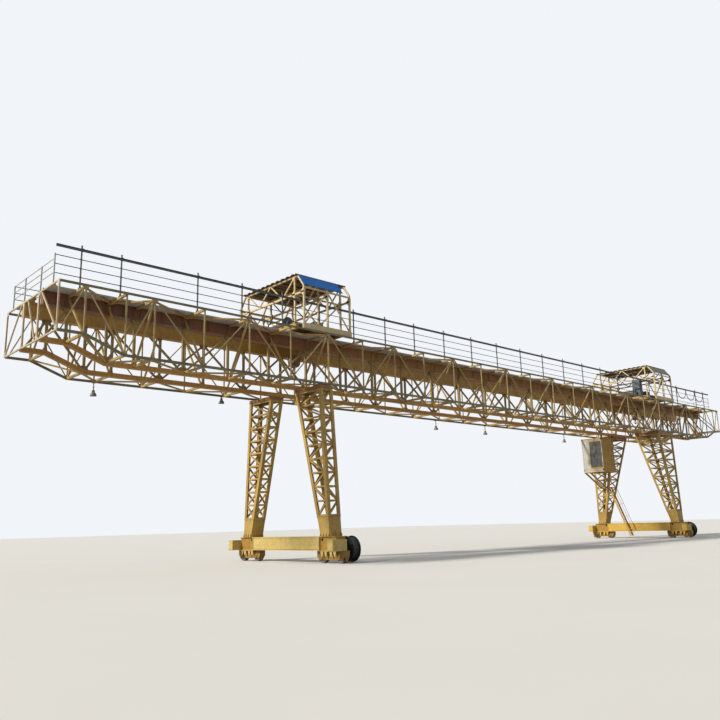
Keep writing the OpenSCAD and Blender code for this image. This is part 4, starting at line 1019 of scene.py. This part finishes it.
def reel_details(name, x):
    """Spokes and rims on a reel's discs, cable wound in rows between them, and a bolted hub."""
    low, high = corners("cable_reels")
    radius, z = (high[2] - low[2]) / 2, (high[2] + low[2]) / 2
    y = low[1] + radius
    gap, wide, margin, rows, wound_radius, hub_radius = 0.185, 0.200, 0.015, 9, 0.236, 0.150
    pitch = (wide - 2 * margin) / rows
    start = x + gap
    wound = [(margin, hub_radius), *wound_rows(margin, pitch, rows, wound_radius, 7),
             (wide - margin, hub_radius)]
    piece("reel_cable_" + name, "cable_rubber", "bridge", turned(wound, (start, y, z), X, 48))
    rim = [(-0.006, 0.268), (-0.006, 0.2895), (0.006, 0.2895), (0.006, 0.268)]
    spoke = [(0.05, -0.016), (0.272, -0.011), (0.272, 0.011), (0.05, 0.016)]
    hub = [(0, 0.080), (0.010, 0.078), (0.010, 0.045)]
    nave = [(0, 0.055), (0.012, 0.055), (0.030, 0.036), (0.034, 0.012)]
    shapes = [turned(nave, (start + wide + 0.010, y, z), X, 24)]
    for face, out in ((start, -X), (start + wide, X)):
        place = np.array([face, y, z])
        ways = circle(1.0, 8) @ np.stack([Y, Z])
        squares = np.cross(X, ways)
        shapes += [ring_shape(rim, place, X, 48), turned(hub, place, out, 24),
                   plates(spoke, np.broadcast_to(place + out * 0.003, (8, 3)), ways, squares, 0.008),
                   bolts(on_plates(circle(0.062, 8), place + out * 0.010, Y, Z), out, 0.013)]
    piece("reel_spokes_" + name, "reel_paint", "bridge", *shapes)


CABIN_LOW, CABIN_HIGH = corners("cabin_shell")
CABIN_MID = (CABIN_LOW + CABIN_HIGH) / 2
CABIN_WIDE, CABIN_DEEP, CABIN_TALL = CABIN_HIGH - CABIN_LOW
GLASS_LOW, GLASS_HIGH = corners("cabin_glass")
TRIM = 0.006


def cabin_trim():
    """Corner angles, belts, wall seams and rows of rivets. The trim round the front is pale."""
    x, y, z = CABIN_MID
    x0, y0, z0 = CABIN_LOW
    x1, y1, z1 = CABIN_HIGH
    angle, belt = 0.040, 0.036
    angle_y, belt_z = [y0 + angle / 2, y1 - angle / 2], [z0 + 0.02, z1 - 0.03]
    post, band = (2 * TRIM, angle, CABIN_TALL), (2 * TRIM, CABIN_DEEP, belt)
    piece("cabin_front_trim", "cabin_paint", "bridge", blocks(grid([x0], angle_y, [z]), post),
          blocks(grid([x0], [y], belt_z), band), finish="cabin_pale")
    angle_x = [x0 + angle / 2, x1 - angle / 2]
    seams = grid(np.linspace(x0 + 0.2, x1 - 0.2, 3), [y0, y1], [z])
    rivets = grid(np.linspace(x0 + 0.06, x1 - 0.06, 14), [y0 - TRIM], belt_z)
    piece("cabin_trim", "cabin_paint", "bridge",
          blocks(grid([x1], angle_y, [z]), post), blocks(grid([x1], [y], belt_z), band),
          blocks(grid(angle_x, [y0, y1], [z]), (angle, 2 * TRIM, CABIN_TALL)),
          blocks(grid([x], [y0, y1], belt_z), (CABIN_WIDE, 2 * TRIM, belt)),
          blocks(seams, (0.022, TRIM, CABIN_TALL - 0.10)), bolts(rivets, -Y, 0.008),
          bolts(rivets + [0, CABIN_DEEP + 2 * TRIM, 0], Y, 0.008))


def cabin_window():
    """Frame and bars of the front window, its wiper and the pale panel beside it."""
    front = CABIN_LOW[0]
    _, y, z = (GLASS_LOW + GLASS_HIGH) / 2
    _, wide, tall = GLASS_HIGH - GLASS_LOW
    low, high = GLASS_LOW[2], GLASS_HIGH[2]
    bar, inset, deep, sill = 0.018, 0.008, 0.034, tall * 0.36
    piece("window_frame", "railing_paint", "bridge",
          blocks(grid([front + 0.010], [GLASS_LOW[1] + inset, GLASS_HIGH[1] - inset], [z]),
                 (deep, bar, tall)),
          blocks(grid([front + 0.010], [y], [low + inset, high - inset, low + sill]), (deep, wide, bar)),
          blocks([(front + 0.010, y, low + sill / 2)], (0.030, 0.014, sill)))
    arm = [(front - 0.004, y + 0.10, low + 0.40), (front - 0.006, y - 0.02, low + 0.72)]
    blade = [(front - 0.002, y - 0.02, low + 0.50), (front - 0.002, y - 0.02, low + 0.92)]
    piece("window_wiper", "cable_rubber", "bridge", swept(arm, rectangle(0.008, 0.005), up=X),
          swept(blade, rectangle(0.006, 0.010), up=X),
          turned([(-0.006, 0.014), (0.006, 0.012)], arm[0], X, 12))
    start, end = GLASS_HIGH[1] + 0.022, CABIN_HIGH[1] - 0.045
    piece("cabin_pale_panel", "cabin_paint", "bridge",
          blocks([(front - 0.002, (start + end) / 2, CABIN_MID[2])], (0.006, end - start, CABIN_TALL - 0.12)),
          blocks(grid([front - 0.005], [start + 0.05, end - 0.055], [CABIN_MID[2]]),
                 (0.006, 0.014, CABIN_TALL - 0.20)), finish="cabin_pale")


def cabin_door():
    """Door leaf with raised folds, hinges, handle and pane, on the side towards the platform."""
    x, y, z = CABIN_HIGH[0], CABIN_LOW[1] + 0.265, CABIN_LOW[2] + 0.500
    handle = [(x + out, y + 0.12, z + up)
              for out, up in ((0.004, -0.05), (0.012, -0.02), (0.012, 0.05), (0.004, 0.08))]
    piece("cabin_door", "cabin_paint", "bridge",
          blocks([(x - 0.012, y, z)], (0.018, 0.322, 0.942)),
          blocks(grid([x - 0.001], [y], [z - 0.27, z - 0.02]), (0.006, 0.24, 0.020)),
          blocks(grid([x - 0.001], y + 0.11 * BOTH, [z - 0.145]), (0.006, 0.020, 0.25)),
          turned([(-0.06, 0.006), (0.06, 0.006)], grid([x + 0.001], [y - 0.155], z + 0.3 * BOTH), Z, 10),
          swept(handle, circle(0.006, 8), up=Y))
    piece("door_pane", "cabin_glazing", "bridge",
          blocks([(x - 0.012, y, z + 0.22)], (0.024, 0.22, 0.40)),
          blocks([(x - 0.011, y, z + 0.22)], (0.020, 0.23, 0.41)))


def cabin_roof_ribs():
    """Ribs and gutter on the cabin's roof and the bolted plates of its hangers."""
    top = CABIN_HIGH[2] + 0.020
    hanger_x = [CABIN_LOW[0] + 0.13, CABIN_HIGH[0] - 0.13]
    hanger_z = [top + 0.005, corners("cabin_roof")[1][2] - 0.006]
    hangers = grid(hanger_x, [MID_Y + GIRDER_Y], hanger_z)
    ribs = grid(np.linspace(CABIN_LOW[0] + 0.03, CABIN_HIGH[0] - 0.03, 9), [CABIN_MID[1]], [top + 0.003])
    gutter = [(CABIN_LOW[0] - 0.016, CABIN_MID[1], CABIN_HIGH[2] + 0.004)]
    piece("cabin_roof_ribs", "cabin_paint", "bridge", blocks(ribs, (0.016, CABIN_DEEP, 0.008)),
          blocks(gutter, (0.006, CABIN_DEEP + 0.03, 0.028)), blocks(hangers, (0.12, 0.10, 0.010)),
          bolts(on_plates(four(0.042, 0.034), hangers[0::2] + [0, 0, 0.005], X, Y), Z, 0.012))


def platform_details():
    """Tread bars, a short handrail beside the leg and the pale strip along the platform's edge."""
    low, high = corners("cabin_platform")
    floor, start, end = CABIN_LOW[2], CABIN_HIGH[0], high[0] - 0.025
    rail_y = [low[1] + 0.012, high[1] - 0.012]
    treads = grid(np.arange(start + 0.03, end, 0.04), [(low[1] + high[1]) / 2], [floor + 0.002])
    posts = grid([start + 0.03, end - 0.02], rail_y, [floor + 0.26])
    bars = [[(start + 0.008, y, z), (end - 0.005, y, z)]
            for y, z in grid(rail_y, [floor + 0.28, floor + 0.52])]
    piece("platform_rail", "ground_paint", "bridge", blocks(posts, (0.018, 0.018, 0.52)),
          swept(bars, circle(0.009, 8)), blocks(treads, (0.008, high[1] - low[1] - 0.05, 0.006)))
    edge_z = floor - 0.038
    edge = [(low[0] - 0.001, low[1] + 0.004, edge_z), (low[0] - 0.001, high[1] - 0.004, edge_z)]
    rivets = grid([low[0] - 0.005], np.linspace(low[1] + 0.05, high[1] - 0.05, 8), [edge_z])
    piece("platform_edge", "cabin_paint", "bridge", swept(edge, rectangle(0.008, 0.050)),
          bolts(rivets, -X, 0.012), finish="cabin_pale")


def ladder_details():
    """Handrails that follow the ladder's lean, on short stanchions."""
    low, high = corners("cabin_ladder")
    stile, wide, off = 0.020, 0.200, 0.20
    foot, top = np.array([low[1] + 0.032, low[2]]), np.array([high[1] - 0.055, high[2]])
    way = unit(top - foot)
    square = np.array([-way[1], way[0]])
    start, stop = foot + way * 0.25 + square * off, top - way * 0.12 + square * off
    line = [foot + way * 0.12 + square * 0.03, foot + way * 0.14 + square * 0.13,
            start, (start + stop) / 2, stop]
    rails, posts = [], []
    for x in (low[0] + stile / 2, low[0] + wide - stile / 2):
        rails.append([(x, *spot) for spot in line])
        for share in (0.12, 0.37, 0.62, 0.87):
            base = foot + (top - foot) * share
            posts.append([(x, *base), (x, *(base + square * off))])
    piece("ladder_handrails", "ground_paint", "bridge", swept(rails, circle(0.009, 8), up=X),
          swept(posts, circle(0.007, 8), up=X))


def end_frame_plates():
    """Small gussets with bolts at the corners of the two end frames."""
    outline = [(-0.03, -0.015), (0.09, -0.015), (0.09, 0.02), (0.03, 0.09), (-0.03, 0.09)]
    holes = [(0, 0), (0.05, 0), (0, 0.05)]
    shapes = []
    for end, side in grid(SIDES, SIDES):
        for y, way in ((OUTER_Y, -side), (0.405, side)):
            for z, up in ((CHORD_Z + END_RISE, Z), (DECK - 0.015, -Z)):
                at = [(end * (REACH + 0.0105), MID_Y + side * y, z)]
                shapes.append(plates(outline, at, way * Y, up, 0.004))
                shapes.append(bolts(on_plates(holes, at, way * Y, up), end * X, 0.008))
    piece("end_frame_gussets", "thin_bar_paint", "bridge", *shapes)


TROLLEY_HALF = 0.750


def trolley_place(body):
    """Middle of a trolley along the bridge and the top of its frame."""
    low, high = corners(body + "_frame")
    return (low[0] + high[0]) / 2, high[2]


def trolley_details(body):
    """Buffers, axle boxes and tread bars on a trolley's frame."""
    x, top = trolley_place(body)
    z = middle_of(body + "_frame")[2]
    buffer = [(-0.004, 0.050), (0.006, 0.050), (0.006, 0.034), (0.024, 0.034), (0.028, 0.042), (0.040, 0.040)]
    shapes = []
    for end in SIDES:
        at = grid([x + end * TROLLEY_HALF], RAIL_LINES, [z])
        heads = on_plates(four(0.038, 0.038), at + end * 0.004 * X, Y, Z)
        shapes += [turned(buffer, at, end * X, 20), bolts(heads, end * X, 0.013)]
    piece(body + "_buffers", "wheel_steel", body, *shapes)
    axle_box = [(-0.002, 0.056), (0.012, 0.054), (0.016, 0.046), (0.016, 0.026), (0.022, 0.022)]
    seams = grid(x + np.array([-0.55, -0.25, 0.25, 0.55]), MID_Y + 1.03 * BOTH, [z])
    shapes = [blocks(seams, (0.010, 0.006, 0.12))]
    for face in SIDES:
        at = grid(x + 0.48 * BOTH, RAIL_LINES + face * 0.060, [z - 0.020])
        heads = on_plates(circle(0.036, 6), at + face * 0.016 * Y, X, Z)
        shapes += [turned(axle_box, at, face * Y, 20), bolts(heads, face * Y, 0.011)]
    piece(body + "_axle_boxes", "lattice_paint", body, *shapes)
    treads = grid(x + np.arange(-0.70, 0.71, 0.07), MID_Y + 0.80 * BOTH, [top + 0.001])
    piece(body + "_treads", "deck_paint", body, blocks(treads, (0.008, 0.36, 0.004)))


def rope_sheaves(body):
    """Grooved sheaves over the rope hole, each between two cheeks on its own pin."""
    x, top = trolley_place(body)
    groove = [(-0.022, 0.05), (-0.022, 0.092), (-0.016, 0.094), (0, 0.080), (0.016, 0.094), (0.022, 0.092),
              (0.022, 0.05)]
    cheek = [(-0.06, -0.10), (0.06, -0.10), (0.030, 0.03), (-0.030, 0.03)]
    sheaves = grid(x + 0.12 * BOTH, MID_Y + 0.14 * BOTH, [top + 0.175])
    cheeks = np.concatenate([sheaves + side * 0.032 * Y for side in SIDES])
    pins = [turned([(-half, radius), (half, radius)], sheaves, Y, sides)
            for half, radius, sides in ((0.045, 0.020, 16), (0.021, 0.052, 16), (0.050, 0.012, 6))]
    piece(body + "_sheaves", "winch_paint", body, ring_shape(groove, sheaves, Y, 28),
          plates(cheek, cheeks, X, Z, 0.010), *pins)


def wound_rows(start, pitch, rows, radius, steps):
    """Outline of rope wound side by side on a drum: in each row the place along goes half a pitch times one
    minus the cosine of a half turn, and the radius gains half a pitch times its sine."""
    turn = np.linspace(0, math.pi, steps)
    return [(start + pitch * (row + 0.5 - 0.5 * math.cos(a)), radius + 0.5 * pitch * math.sin(a))
            for row in range(rows) for a in turn]


def drum_fittings(drum, top):
    """Bearing covers and bolts at both ends of the drum and the bolted feet of its pedestals."""
    cover = [(-0.002, 0.062), (0.016, 0.060), (0.020, 0.050), (0.020, 0.020)]
    shapes = []
    for side in SIDES:
        out = side * Y
        face = drum + out * 0.366
        feet = grid(drum[0] + 0.09 * BOTH, [MID_Y + side * 0.346], [top + 0.008])
        shapes += [turned(cover, face, out, 24),
                   bolts(on_plates(circle(0.048, 8), face + out * 0.020, X, Z), out, 0.014),
                   bolts(on_plates(circle(0.135, 8), drum + out * 0.326, X, Z), out, 0.014),
                   blocks(feet, (0.05, 0.06, 0.014)), bolts(feet + [0, 0, 0.007], Z, 0.020)]
    return shapes


def gearbox_fittings(low, high):
    """Lid, parting flange with bolts, ribs and lifting eyes of the gearbox between two corners."""
    x, y, z = (low + high) / 2
    rib_x = np.linspace(low[0] + 0.04, high[0] - 0.04, 4)
    bolt_x = np.linspace(low[0] + 0.02, high[0] - 0.02, 6)
    eye = [(-0.006, 0.018), (-0.006, 0.030), (0.006, 0.030), (0.006, 0.018)]
    return [blocks([(x, y, high[2] + 0.004)], (0.292, 0.282, 0.012)),
            blocks([(x, y, z)], (0.292, 0.282, 0.016)),
            blocks(grid(rib_x, [y], [z + 0.09]), (0.010, 0.284, 0.13)),
            bolts(grid(bolt_x, [low[1] - 0.004, high[1] + 0.004], [z + 0.008]), Z, 0.016),
            ring_shape(eye, grid(x + 0.08 * BOTH, [y], [high[2] + 0.034]), X, 14)]


def motor_fittings(x, top):
    """Finned motor with its end bells and terminal box, and the round brake beside the gearbox."""
    fins = [(0.070 + 0.016 * i + step, r)
            for i in range(12) for step, r in ((0, 0.1005), (0.004, 0.114), (0.010, 0.114))]
    motor = [(0.0, 0.075), (0.0, 0.118), (0.020, 0.118), (0.024, 0.1005), *fins,
             (0.275, 0.1005), (0.280, 0.108), (0.345, 0.106), (0.352, 0.06)]
    brake = [(0, 0.030), (0.01, 0.055), (0.07, 0.055), (0.08, 0.030)]
    return [turned(motor, (x + 0.480, MID_Y - 0.170, top + 0.200), Y, 28),
            blocks([(x + 0.480, MID_Y, top + 0.325)], (0.10, 0.12, 0.05)),
            turned(brake, (x + 0.340, MID_Y - 0.27, top + 0.16), -X, 20)]


def winch_details(body):
    """Rope on the drum, and the fittings of the drum, the gearbox, the motor and the brake."""
    x, top = trolley_place(body)
    drum = np.array([x - 0.430, MID_Y, top + 0.190])
    half, rows, rope_radius = 0.30, 26, 0.131
    wound = wound_rows(-half, 2 * half / rows, rows, rope_radius, 5)
    piece(body + "_drum_rope", "wheel_steel", body,
          turned([(-half, 0.120), *wound, (half, 0.120)], drum, Y, 32))
    gearbox = np.array([[x + 0.350, MID_Y - 0.430, top], [x + 0.620, MID_Y - 0.170, top + 0.330]])
    piece(body + "_winch_fittings", "winch_paint", body, *drum_fittings(drum, top),
          *gearbox_fittings(*gearbox), *motor_fittings(x, top))


def cabinet_details(body):
    """Doors, vents, lid, side panel, handles and bolts of the cabinet on a trolley."""
    x, top = trolley_place(body)
    low = np.array([x - 0.250, MID_Y - 0.480, top])
    high = np.array([x - 0.040, MID_Y - 0.150, top + 0.790])
    mid_x, mid_y, mid_z = (low + high) / 2
    door_y = mid_y + 0.080 * BOTH
    vents = grid([low[0] - 0.006], door_y, high[2] - 0.10 - 0.022 * np.arange(5))
    handles = grid([low[0] - 0.012], mid_y + 0.012 * BOTH, [mid_z])
    hinges = grid([low[0] - 0.006], [low[1] + 0.018, high[1] - 0.018], [low[2] + 0.12, mid_z, high[2] - 0.12])
    piece(body + "_cabinet", "winch_paint", body,
          blocks(grid([low[0] - 0.002], door_y, [mid_z]), (0.008, 0.148, 0.74)),
          blocks(vents, (0.006, 0.10, 0.008)),
          blocks([(mid_x, mid_y, high[2] + 0.004)], (0.235, 0.352, 0.012)),
          blocks([(mid_x, low[1] - 0.002, mid_z)], (0.17, 0.006, 0.70)),
          blocks(handles, (0.012, 0.012, 0.07)), bolts(hinges, -X, 0.016))


SHELTER_IN = 0.990
SHELTER_OUT = 1.340
SHELTER_SPAN = 0.728
EAVE_Z = 6.455
ROOF_Z = 6.770
TIE_Z = 6.300
ROOF_HALF = 1.120
TUBE = 0.044
SIDE_BEAM_TALL = 0.137


def shelter_frame(body):
    """The bent tubes over the trolley, from one outer beam to the other, with inner posts, ties, long bars,
    slanting braces and a row of braces under the roof that stand with their points on the tie."""
    x, floor = trolley_place(body)
    thin, brace, bend = 0.036, 0.028, 0.060
    beam_low = corners(body + "_shelter")[0][2]
    beam_top = beam_low + SIDE_BEAM_TALL
    under_roof = ROOF_Z - TUBE / 2
    places = x + SHELTER_SPAN * np.array([-1, 0, 1])
    half_path = [(SHELTER_OUT, beam_top - 0.004), (SHELTER_OUT, EAVE_Z), (ROOF_HALF, under_roof)]
    whole = half_path + [(-y, z) for y, z in half_path[::-1]]
    portals = [bent([(place, MID_Y + y, z) for y, z in whole], bend) for place in places]
    steps = np.arange(-2, 3)
    heights = np.where(steps % 2 == 0, under_roof, TIE_Z)
    gable, cross, posts, bars, slants = [], [], [], [], []
    for place in places:
        row = points_at(place, MID_Y + SHELTER_IN / 2 * steps, heights)
        gable += list(np.stack([row[:-1], row[1:]], 1))
        cross.append(points_at(place, MID_Y + SHELTER_OUT * BOTH, TIE_Z))
    for side in SIDES:
        inner, outer = MID_Y + side * SHELTER_IN, MID_Y + side * SHELTER_OUT
        posts += [[(place, inner, floor), (place, inner, under_roof)] for place in places]
        for y, z in ((outer, EAVE_Z - TUBE), (inner, TIE_Z), (inner, ROOF_Z - TUBE)):
            bars.append(points_at(x + SHELTER_SPAN * BOTH, y, z))
        for place in places[[0, 2]]:
            slants.append([(place, outer, beam_top - TUBE / 2), (x, outer, EAVE_Z - TUBE)])
            slants.append([(x, inner, floor + brace), (place, inner, TIE_Z)])
    tube = round_rectangle(TUBE, TUBE, 0.006, 3)
    edge, reach, skin = SIDE_BEAM_TALL / 2, 0.035, 0.008
    channel = np.array([(reach, -edge), (reach, edge), (-reach, edge), (-reach, 0.0600),
                        (reach - skin, 0.0600), (reach - skin, -0.0600), (-reach, -0.0600), (-reach, -edge)])
    shapes = [swept(portals, tube, up=X), swept(posts, tube, up=X),
              swept(cross, rectangle(0.040, TUBE), up=Z), swept(bars, rectangle(thin, thin), up=Z),
              swept(slants, rectangle(brace, brace), up=Y), swept(gable, rectangle(brace, brace), up=X)]
    for side in SIDES:
        run = points_at(x + TROLLEY_HALF * BOTH, MID_Y + side * SHELTER_OUT, beam_top - edge)
        shapes.append(swept(run, channel * [-side, 1]))
    frame_piece = piece(body + "_shelter_frame", "lattice_paint", body, *shapes, finish="shelter_paint")
    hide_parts(body + "_shelter")


def roof_waves(body):
    """A ribbed roof sheet: its height runs flat, up, flat and down again, eleven times across the trolley.
    Screws stand in the valleys."""
    low, high = corners(body + "_roof")
    waves, tall, thick, rows = 11, 0.022, 0.004, 7
    pitch = 2 * ROOF_HALF / waves
    steps = np.array([0.0, 0.34, 0.46, 0.88])
    y = np.append((np.arange(waves)[:, None] + steps).ravel(), waves) * pitch + MID_Y - ROOF_HALF
    z = np.append(np.tile(tall * np.array([0.0, 0.0, 1.0, 1.0]), waves), 0.0) + ROOF_Z
    under = points_at(np.linspace(low[0], high[0], rows)[:, None], y, z)
    waved = piece(body + "_roof_sheet", "roof_sheet", body, sheet(under, thick, Z))
    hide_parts(body + "_roof")
    valleys = MID_Y - ROOF_HALF + pitch * (np.arange(waves) + steps[1] / 2)
    frames = (low[0] + high[0]) / 2 + SHELTER_SPAN * np.array([-1, 0, 1])
    screws = grid(frames, valleys, [ROOF_Z + thick])
    piece(body + "_roof_screws", "wheel_steel", body, bolts(screws + [0, 0, 0.001], Z, 0.018),
          turned([(-0.001, 0.013), (0.0016, 0.012)], screws, Z, 10))


def shelter_details(body):
    """Gussets at the shelter's joints, plates and ribs in the outer beams and the inner posts' feet."""
    x, _ = trolley_place(body)
    frames = x + SHELTER_SPAN * np.array([-1, 0, 1])
    beam_z = corners(body + "_shelter")[0][2] + SIDE_BEAM_TALL / 2
    corner = [(-0.02, -0.02), (0.10, -0.02), (0.10, 0.01), (0.01, 0.10), (-0.02, 0.10)]
    holes = [(0, 0.06), (0.06, 0), (0, 0)]
    thick, face_off = 0.005, 0.0245
    joints = ((SHELTER_IN, TIE_Z, 1), (SHELTER_IN, TIE_Z, -1), (SHELTER_IN, ROOF_Z - 0.03, -1),
              (SHELTER_OUT, TIE_Z, -1), (SHELTER_OUT, TIE_Z, 1))
    shapes = []
    for side in SIDES:
        for y, z, turn in joints:
            for face in SIDES:
                at = points_at(frames + face * face_off, MID_Y + side * y, z)
                shapes += joint_plates(at, -side * Y, turn * Z, corner, holes, thick, face * X, 0.010)
        ends = grid(x + 0.752 * BOTH, [MID_Y + side * SHELTER_OUT], [beam_z])
        ribs = grid(x + np.linspace(-0.6, 0.6, 7), [MID_Y + side * (SHELTER_OUT - 0.004)], [beam_z])
        feet = grid(frames, [MID_Y + side * SHELTER_IN], [DECK + 0.225])
        shapes += [blocks(ends, (0.010, 0.066, 0.130)), blocks(ribs, (0.008, 0.056, 0.122)),
                   blocks(feet, (0.09, 0.09, 0.010)),
                   bolts(on_plates(four(0.034, 0.034), feet + [0, 0, 0.005], X, Y), Z, 0.012)]
    piece(body + "_shelter_gussets", "lattice_paint", body, *shapes, finish="shelter_paint")


def roof_edges(body):
    """Flashing along both edges of the roof sheet and the purlins under it."""
    low, high = corners(body + "_roof")
    inset, end = 0.010, 0.002
    half = (high[1] - low[1]) / 2 - inset
    trims = [points_at([low[0] + end, high[0] - end], MID_Y + side * half, low[2] + 0.012) for side in SIDES]
    purlins = grid([(low[0] + high[0]) / 2], MID_Y + 0.35 * np.arange(-2, 3), [ROOF_Z - 0.014])
    piece(body + "_roof_edges", "roof_sheet", body, swept(trims, rectangle(0.016, 0.028)),
          blocks(purlins, (2 * TROLLEY_HALF, 0.024, 0.026)))


def fascia_details(body, slot):
    """Two long folds on the sloping sheet, its lapped joints, a bead along both edges and rows of screws."""
    low, high = corners(body + "_fascia")
    run = np.array([0, SHELTER_OUT - ROOF_HALF, ROOF_Z - TUBE / 2 - EAVE_Z])
    long = np.linalg.norm(run)
    way = unit(run)
    out = unit(np.cross(X, way))
    start = np.array([0, MID_Y - SHELTER_OUT, EAVE_Z]) + out * (TUBE / 2 + 0.006)

    def up_the_sheet(xs, distance):
        """Points at the places xs along the trolley and a distance up the slope."""
        spot = start + way * distance
        return points_at(xs, spot[1], spot[2])

    ends = np.array([low[0] + 0.002, high[0] - 0.002])
    fold = [(-0.012, 0), (-0.005, 0.003), (0.005, 0.003), (0.012, 0)]
    lap_pitch, lap_inset, screw_pitch, screw_inset, bead_inset = 0.42, 0.012, 0.14, 0.025, 0.006
    lap_x = np.arange(low[0] + lap_pitch, high[0] - 0.1, lap_pitch)
    screw_x = np.arange(low[0] + screw_pitch / 2, high[0] - 0.03, screw_pitch)
    folds = [up_the_sheet(ends, distance) for distance in (0.10, 0.25)]
    beads = [up_the_sheet(ends, distance) for distance in (bead_inset, long - bead_inset)]
    laps = np.stack([up_the_sheet(lap_x, distance) for distance in (lap_inset, long - lap_inset)], 1)
    screws = np.concatenate([up_the_sheet(screw_x, distance)
                             for distance in (screw_inset, long - screw_inset)])
    piece(body + "_fascia_folds", slot, body, swept(folds, fold, up=out),
          swept(beads, rectangle(0.010, 0.008), up=out), swept(laps, rectangle(0.030, 0.003), up=out),
          bolts(screws, out, 0.010))


def hook_details(body):
    """Sheave grooves, side bolts, hook nut and the safety latch of a hook block."""
    low, high = corners(body + "_hook_block")
    x, foot = (low[0] + high[0]) / 2, low[2]
    axis, cheek_off = foot + 0.320, 0.085
    boss = [(-0.004, 0.045), (0.008, 0.042), (0.012, 0.020)]
    spots = [(-0.11, 0.08), (0.11, 0.08), (-0.11, -0.06), (0.11, -0.06), (-0.045, -0.125), (0.045, -0.125)]
    shapes = []
    for side in SIDES:
        face = (x, MID_Y + side * cheek_off, axis)
        shapes += [turned(boss, face, side * Y, 20), bolts(on_plates(spots, face, X, Z), side * Y, 0.018)]
    piece(body + "_hook_bolts", "hook_paint", body, *shapes)
    groove = [(-0.030, 0.07), (-0.030, 0.150), (-0.022, 0.152), (0, 0.128), (0.022, 0.152), (0.030, 0.150),
              (0.030, 0.07)]
    latch = [(x + 0.030, MID_Y, foot + 0.088), (x + 0.054, MID_Y, foot + 0.060),
             (x + 0.062, MID_Y, foot + 0.036)]
    piece(body + "_hook_sheaves", "wheel_steel", body,
          ring_shape(groove, grid([x], MID_Y + 0.033 * BOTH, [axis]), Y, 32),
          turned([(-0.035, 0.038), (0.035, 0.038)], (x, MID_Y, foot + 0.150), Z, 6),
          swept(latch, rectangle(0.022, 0.005), up=Y))


camera()
pale_floor()
soft_sky()
soft_sun()
finish_nodes()
crane_rails()
end_stops()
beam_plates()
truss_plates()
bracing_plates()
walkway_details()
railing_details()
festoon()
lamp_details()
leg_angles()
foot_details()
for label, leg_x in LEG_FRAMES:
    ground_beam_plates(label, leg_x)
    saddle_details(label, leg_x)
for label, leg_x in LEG_FRAMES:
    bogie_details(label, leg_x)
housing_shells()
for label, leg_x in LEG_FRAMES:
    housing_covers(label, leg_x)
for label, leg_x in LEG_FRAMES:
    reel_details(label, leg_x)
cabin_trim()
cabin_window()
cabin_door()
cabin_roof_ribs()
platform_details()
ladder_details()
end_frame_plates()
cap_details()
for trolley, fascia_slot in (("trolley_1", "fascia_blue"), ("trolley_2", "fascia_grey")):
    trolley_details(trolley)
    rope_sheaves(trolley)
    winch_details(trolley)
    if trolley == "trolley_2":
        cabinet_details(trolley)
    shelter_frame(trolley)
    roof_waves(trolley)
    shelter_details(trolley)
    roof_edges(trolley)
    fascia_details(trolley, fascia_slot)
    hook_details(trolley)
